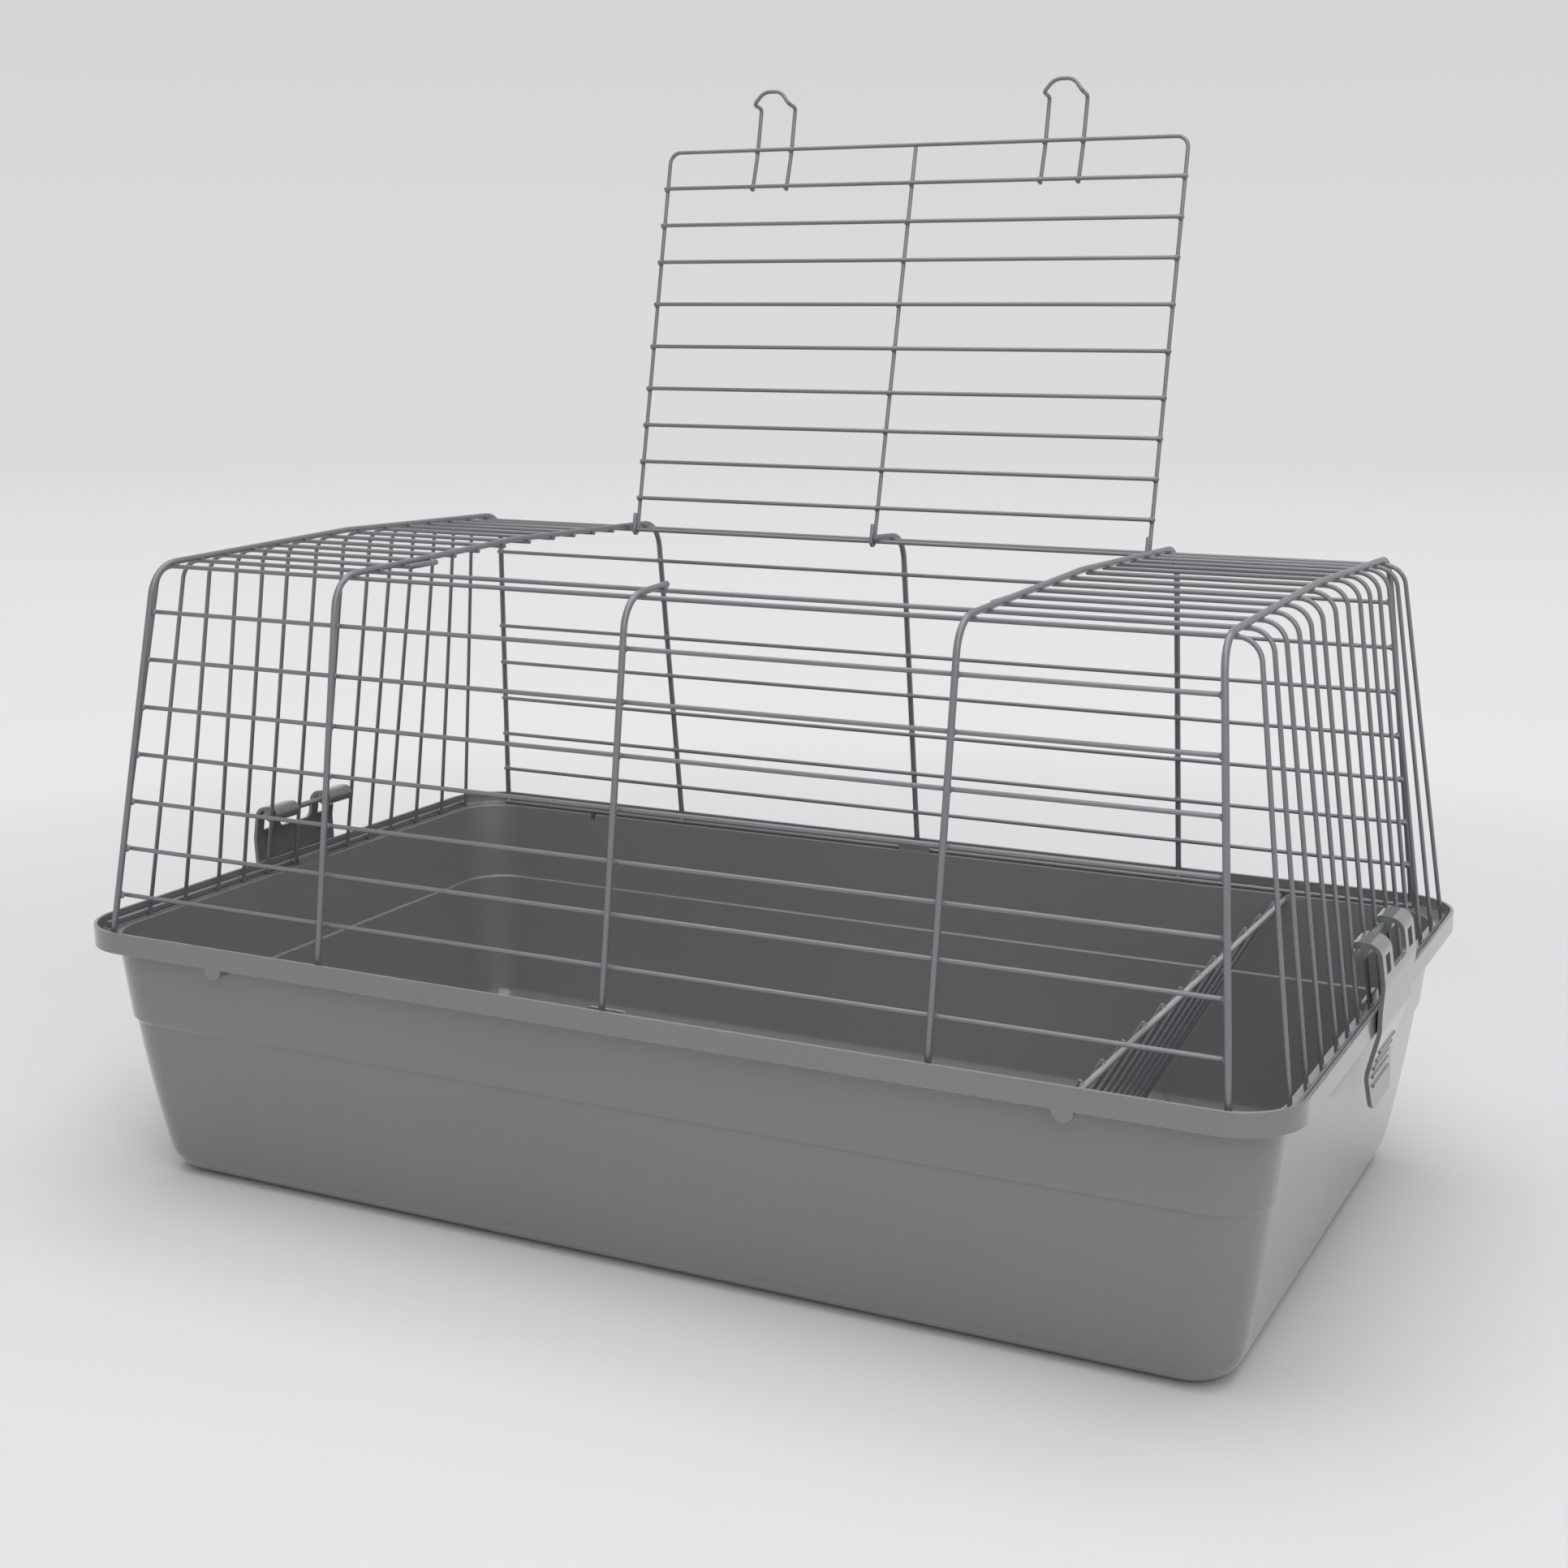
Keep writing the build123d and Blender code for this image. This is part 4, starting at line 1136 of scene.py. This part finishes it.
# %% [markdown]
# The wire is dipped in a silver-grey coating. It holds a little metal flake, so it is part metal
# and mostly paint, and the light from above stays on the top of each wire. It pools a little
# unevenly: the colour and the gloss drift along the wire, warmer patches lie here and there, and
# the skin has the faint ripple of a thick coat. The rack's rail is paler than the rest. A bare
# metal shader would sparkle in a way the coat doesn't.

# %% Silver wire coating
COAT_THIN = (0.200, 0.199, 0.221, 1)
COAT_THICK = (0.266, 0.265, 0.287, 1)
COAT_WARM = (0.237, 0.228, 0.224, 1)
RAIL_THIN = (0.420, 0.420, 0.440, 1)
RAIL_THICK = (0.540, 0.540, 0.555, 1)
WIRE_METAL, RACK_METAL = 0.22, 0.24
COAT_DRIFT, COAT_PATCHES, COAT_RIPPLE = (19, 3), (6, 2), (420, 1)
WARM_FROM, WARM_TO = 0.52, 0.70
METAL_DRIFT = 0.2
COAT_ROUGH, RIPPLE_ROUGH, PATCH_ROUGH = 0.22, 0.08, 0.08
RIPPLE_HEIGHT = 0.05


def silver_coating(name, metal, thin, thick):
    material, shader, start = new_finish(name)
    place = start.node("ShaderNodeTexCoord", output="Object")
    drift = noise(start, place, *COAT_DRIFT)
    patches = noise(start, place, *COAT_PATCHES)
    ripple = noise(start, place, *COAT_RIPPLE)
    cool = blend(start, drift, thin, thick)
    tint = blend(start, between(patches, WARM_FROM, WARM_TO), cool, COAT_WARM)
    rough = ripple * RIPPLE_ROUGH + patches * PATCH_ROUGH + COAT_ROUGH
    feed_shader(shader, base_color=tint, normal=bumps(start, ripple, RIPPLE_HEIGHT))
    feed_shader(shader, metallic=drift * METAL_DRIFT + metal, roughness=rough)
    return material


wire_coat = silver_coating("silver_wire_coating", WIRE_METAL, COAT_THIN, COAT_THICK)
rack_coat = silver_coating("silver_rack_coating", RACK_METAL, COAT_THIN, COAT_THICK)
rail_coat = silver_coating("bright_rail_coating", RACK_METAL, RAIL_THIN, RAIL_THICK)
print("finishes", wire_coat.name, rack_coat.name, rail_coat.name)

# %% [markdown]
# The tray is moulded in one go from grey plastic. Its skin is close to smooth, with a fine
# spark-eroded grain, so at a flat angle it mirrors the pale floor. The melt leaves broad pale and
# dark drifts, and the foot is scuffed where it is slid about. The top of the lip is painted paler
# in the same streaks, as a painted highlight; on the latches this painted highlight covers all
# that stands above the lip's height. A flat grey would look like card. The tray's points are
# marked with how far out they face, because its inside has no such scuffs. The latches are of a
# darker mix of the same plastic.

# %% Moulded tray plastic
# The scuff tones also paint the highlight along the top of the lip.
TRAY_DARK = (0.190, 0.202, 0.194, 1)
TRAY_PALE = (0.221, 0.233, 0.224, 1)
TRAY_SCUFF_AND_HIGHLIGHT = (0.278, 0.286, 0.278, 1)
LATCH_DARK = (0.150, 0.165, 0.160, 1)
LATCH_PALE = (0.180, 0.194, 0.188, 1)
LATCH_SCUFF_AND_HIGHLIGHT = (0.235, 0.245, 0.240, 1)
TRAY_ROUGH, LATCH_ROUGH = 0.12, 0.14
SKIN_GLOSS, SKIN_ROUGH = 0.8, 0.12
MELT_DRIFT, SKIN_GRAIN, STREAK_NOISE = (4.5, 4), (1500, 2), (3, 5)
STREAK_STRETCH = (60, 60, 9)
STREAK_FROM, STREAK_TO = 0.58, 0.74
OUTSIDE_FROM, OUTSIDE_TO = 0.03, 0.10
FOOT_SCUFF_LOW, FOOT_SCUFF_HIGH, FOOT_SCUFF = 0.008, 0.035, 0.35
# From this height up, the top of the lip gets a painted highlight.
LIP_HIGHLIGHT_LOW, LIP_HIGHLIGHT_HIGH, LIP_HIGHLIGHT = 0.1725, 0.1750, 0.5
GRAIN_ROUGH, DRIFT_ROUGH, SCUFF_ROUGH = 0.06, 0.10, 0.18
GRAIN_HEIGHT = 0.09


def mark_outside(piece):
    """Each point keeps how far out its skin faces, so that scuffs stay off the inside."""
    marks = piece.data.attributes.new("outward", "FLOAT", "POINT")
    for mark, point in zip(marks.data, piece.data.vertices):
        mark.value = point.co.dot(point.normal)


def moulded_plastic(name, dark, pale, scuff_and_highlight, rough):
    material, shader, start = new_finish(name)
    shader.inputs["Coat Weight"].default_value = SKIN_GLOSS
    shader.inputs["Coat Roughness"].default_value = SKIN_ROUGH
    place = start.node("ShaderNodeTexCoord", output="Object")
    height = start.node("ShaderNodeSeparateXYZ", {}, {0: place}, output="Z")
    drift = noise(start, place, *MELT_DRIFT)
    grain = noise(start, place, *SKIN_GRAIN)
    streaks = start.node("ShaderNodeMapping", {}, {"Vector": place, "Scale": STREAK_STRETCH})
    wear_and_highlight_streaks = between(noise(start, streaks, *STREAK_NOISE), STREAK_FROM, STREAK_TO)
    outward = start.node("ShaderNodeAttribute", {"attribute_name": "outward"}, output="Fac")
    above_foot = between(height, FOOT_SCUFF_LOW, FOOT_SCUFF_HIGH)
    foot = between(outward, OUTSIDE_FROM, OUTSIDE_TO) * (1 - above_foot)
    # Painted highlight: everything above the lip's height is paler, on the latches as well.
    lip = between(height, LIP_HIGHLIGHT_LOW, LIP_HIGHLIGHT_HIGH)
    scuff_and_lip_highlight = wear_and_highlight_streaks * (foot * FOOT_SCUFF + lip * LIP_HIGHLIGHT)
    tint = blend(start, scuff_and_lip_highlight, blend(start, drift, dark, pale), scuff_and_highlight)
    rough = grain * GRAIN_ROUGH + drift * DRIFT_ROUGH + scuff_and_lip_highlight * SCUFF_ROUGH + rough
    feed_shader(shader, base_color=tint, normal=bumps(start, grain, GRAIN_HEIGHT), roughness=rough)
    return material


mark_outside(tray_shell)
tray_tones = (TRAY_DARK, TRAY_PALE, TRAY_SCUFF_AND_HIGHLIGHT)
latch_tones = (LATCH_DARK, LATCH_PALE, LATCH_SCUFF_AND_HIGHLIGHT)
tray_plastic = moulded_plastic("moulded_tray_plastic", *tray_tones, TRAY_ROUGH)
latch_plastic = moulded_plastic("moulded_latch_plastic", *latch_tones, LATCH_ROUGH)
print("finishes", tray_plastic.name, latch_plastic.name)

# %% [markdown]
# Each piece gets one finish all over. The bars of the latches and the rack's rail are still the
# CAD's own objects, whose shapes are right, so these get a finish in place of their plain colour.

# %% Give every piece its finish


def give(material, piece):
    piece.data.materials.clear()
    piece.data.materials.append(material)


latch_bars = [nodes["left_latch_bar"], nodes["right_latch_bar"]]
finishes = [
    (wire_coat, [*wire_top.values(), *door.values(), *latch_bars]),
    (rack_coat, [*rack.values()]),
    (rail_coat, [nodes["rack_rail"]]),
    (tray_plastic, [tray_shell]),
    (latch_plastic, [left_latch, right_latch]),
]
for material, pieces in finishes:
    for piece in pieces:
        give(material, piece)
    print(material.name, "on", len(pieces), "pieces")

# %% [markdown]
# The picture has a pale seamless ground. The floor is matt paper that is lit and keeps the shadow
# near the cage. Further out it fades to the tone that the world shows the camera, so no horizon
# can be seen. A curved backdrop would do the same but would also shade the back of the cage.

# %% Floor
NEAR_GROUND = (0.815, 0.810, 0.820, 1)
FAR_GROUND = (0.715, 0.708, 0.715, 1)
PAPER = (0.84, 0.84, 0.845, 1)
PAPER_ROUGH, PAPER_SHINE = 0.95, 0.1
FLOOR_SIZE = 40
FADE_FROM, FADE_TO = 0.75, 1.5
FAR_FROM, FAR_TO = 1.5, 7.0


def seen_rays(start):
    """1 for rays that look at a thing, straight or in a mirror or glass, and 0 for light."""
    rays = "ShaderNodeLightPath"
    seen = start.node(rays, output="Is Camera Ray") + start.node(rays, output="Is Glossy Ray")
    seen = seen + start.node(rays, output="Is Transmission Ray")
    return between(seen, 0, 1)


bpy.ops.object.select_all(action="DESELECT")
bpy.ops.mesh.primitive_plane_add(size=FLOOR_SIZE)
floor = bpy.context.object
floor.name = "studio_floor"
floor_paper, floor_shader, start = new_finish("pale_floor_paper")
floor_shader.inputs["Base Color"].default_value = PAPER
floor_shader.inputs["Roughness"].default_value = PAPER_ROUGH
floor_shader.inputs["Specular IOR Level"].default_value = PAPER_SHINE
place = start.node("ShaderNodeTexCoord", output="Object")
away = start.node("ShaderNodeVectorMath", {"operation": "LENGTH"}, {0: place}, output="Value")
# Painted light: the floor's glow is paler near the cage and dims towards the far edge.
ground_tone = blend(start, between(away, FAR_FROM, FAR_TO), NEAR_GROUND, FAR_GROUND)
glow = start.node("ShaderNodeEmission", {}, {"Color": ground_tone})
fade = between(away, FADE_FROM, FADE_TO) * seen_rays(start)
paper = Tone(start.tree, floor_shader.outputs[0])
ground = start.node("ShaderNodeMixShader", {}, {0: fade, 1: paper, 2: glow})
start.tree.links.new(ground.socket, start.tree.nodes["Material Output"].inputs["Surface"])
give(floor_paper, floor)
print("floor", floor.dimensions[:])

# %% [markdown]
# The light is that of a plain studio: soft from all round, more of it from above, most of it from
# a wide panel overhead, with a weaker lamp from the front and right that gives the walls a side.
# So the foot of the tray stands in a dark line and the wires are bright on top. Together they are
# as strong as plain daylight on paper, so a colour looks about as it is written. What the camera
# sees of the world is a separate, paler tone.

# %% Soft studio light
ZENITH = (0.640, 0.625, 0.640, 1)
LOW_LIGHT = (0.150, 0.150, 0.150, 1)
HIGH_LIGHT = (0.405, 0.415, 0.425, 1)
ZENITH_RISE, LIGHT_RISE = 0.22, 0.8
PANEL_PLACE = (0, 0, 2.6)
PANEL_SIZE = 3.0
PANEL_POWER = 43
LAMP_PLACE = (1.6, -2.2, 2.0)
LAMP_SIZE = 2.4
LAMP_POWER = 29


def soft_lamp(name, place, size, power):
    """A square lamp that faces the cage."""
    bpy.ops.object.select_all(action="DESELECT")
    bpy.ops.object.light_add(type="AREA", location=place)
    lamp = bpy.context.object
    lamp.name = name
    lamp.rotation_euler = Vector(place).to_track_quat("Z", "Y").to_euler()
    lamp.data.shape = "SQUARE"
    lamp.data.size = size
    lamp.data.energy = power
    print(name, power, "W from", place)


scene = bpy.context.scene
scene.world = bpy.data.worlds.new("studio")
scene.world.use_nodes = True
sky = Tone(scene.world.node_tree)
looking = sky.node("ShaderNodeTexCoord", output="Generated")
rise = sky.node("ShaderNodeSeparateXYZ", {}, {0: looking}, output="Z")
shown = blend(sky, between(rise, 0, ZENITH_RISE), FAR_GROUND, ZENITH)
lit = blend(sky, between(rise, 0, LIGHT_RISE), LOW_LIGHT, HIGH_LIGHT)
sky_light = scene.world.node_tree.nodes["Background"]
sky.tree.links.new(blend(sky, seen_rays(sky), lit, shown).socket, sky_light.inputs["Color"])
soft_lamp("overhead_panel", PANEL_PLACE, PANEL_SIZE, PANEL_POWER)
soft_lamp("side_lamp", LAMP_PLACE, LAMP_SIZE, LAMP_POWER)
scene.view_settings.view_transform = "Standard"
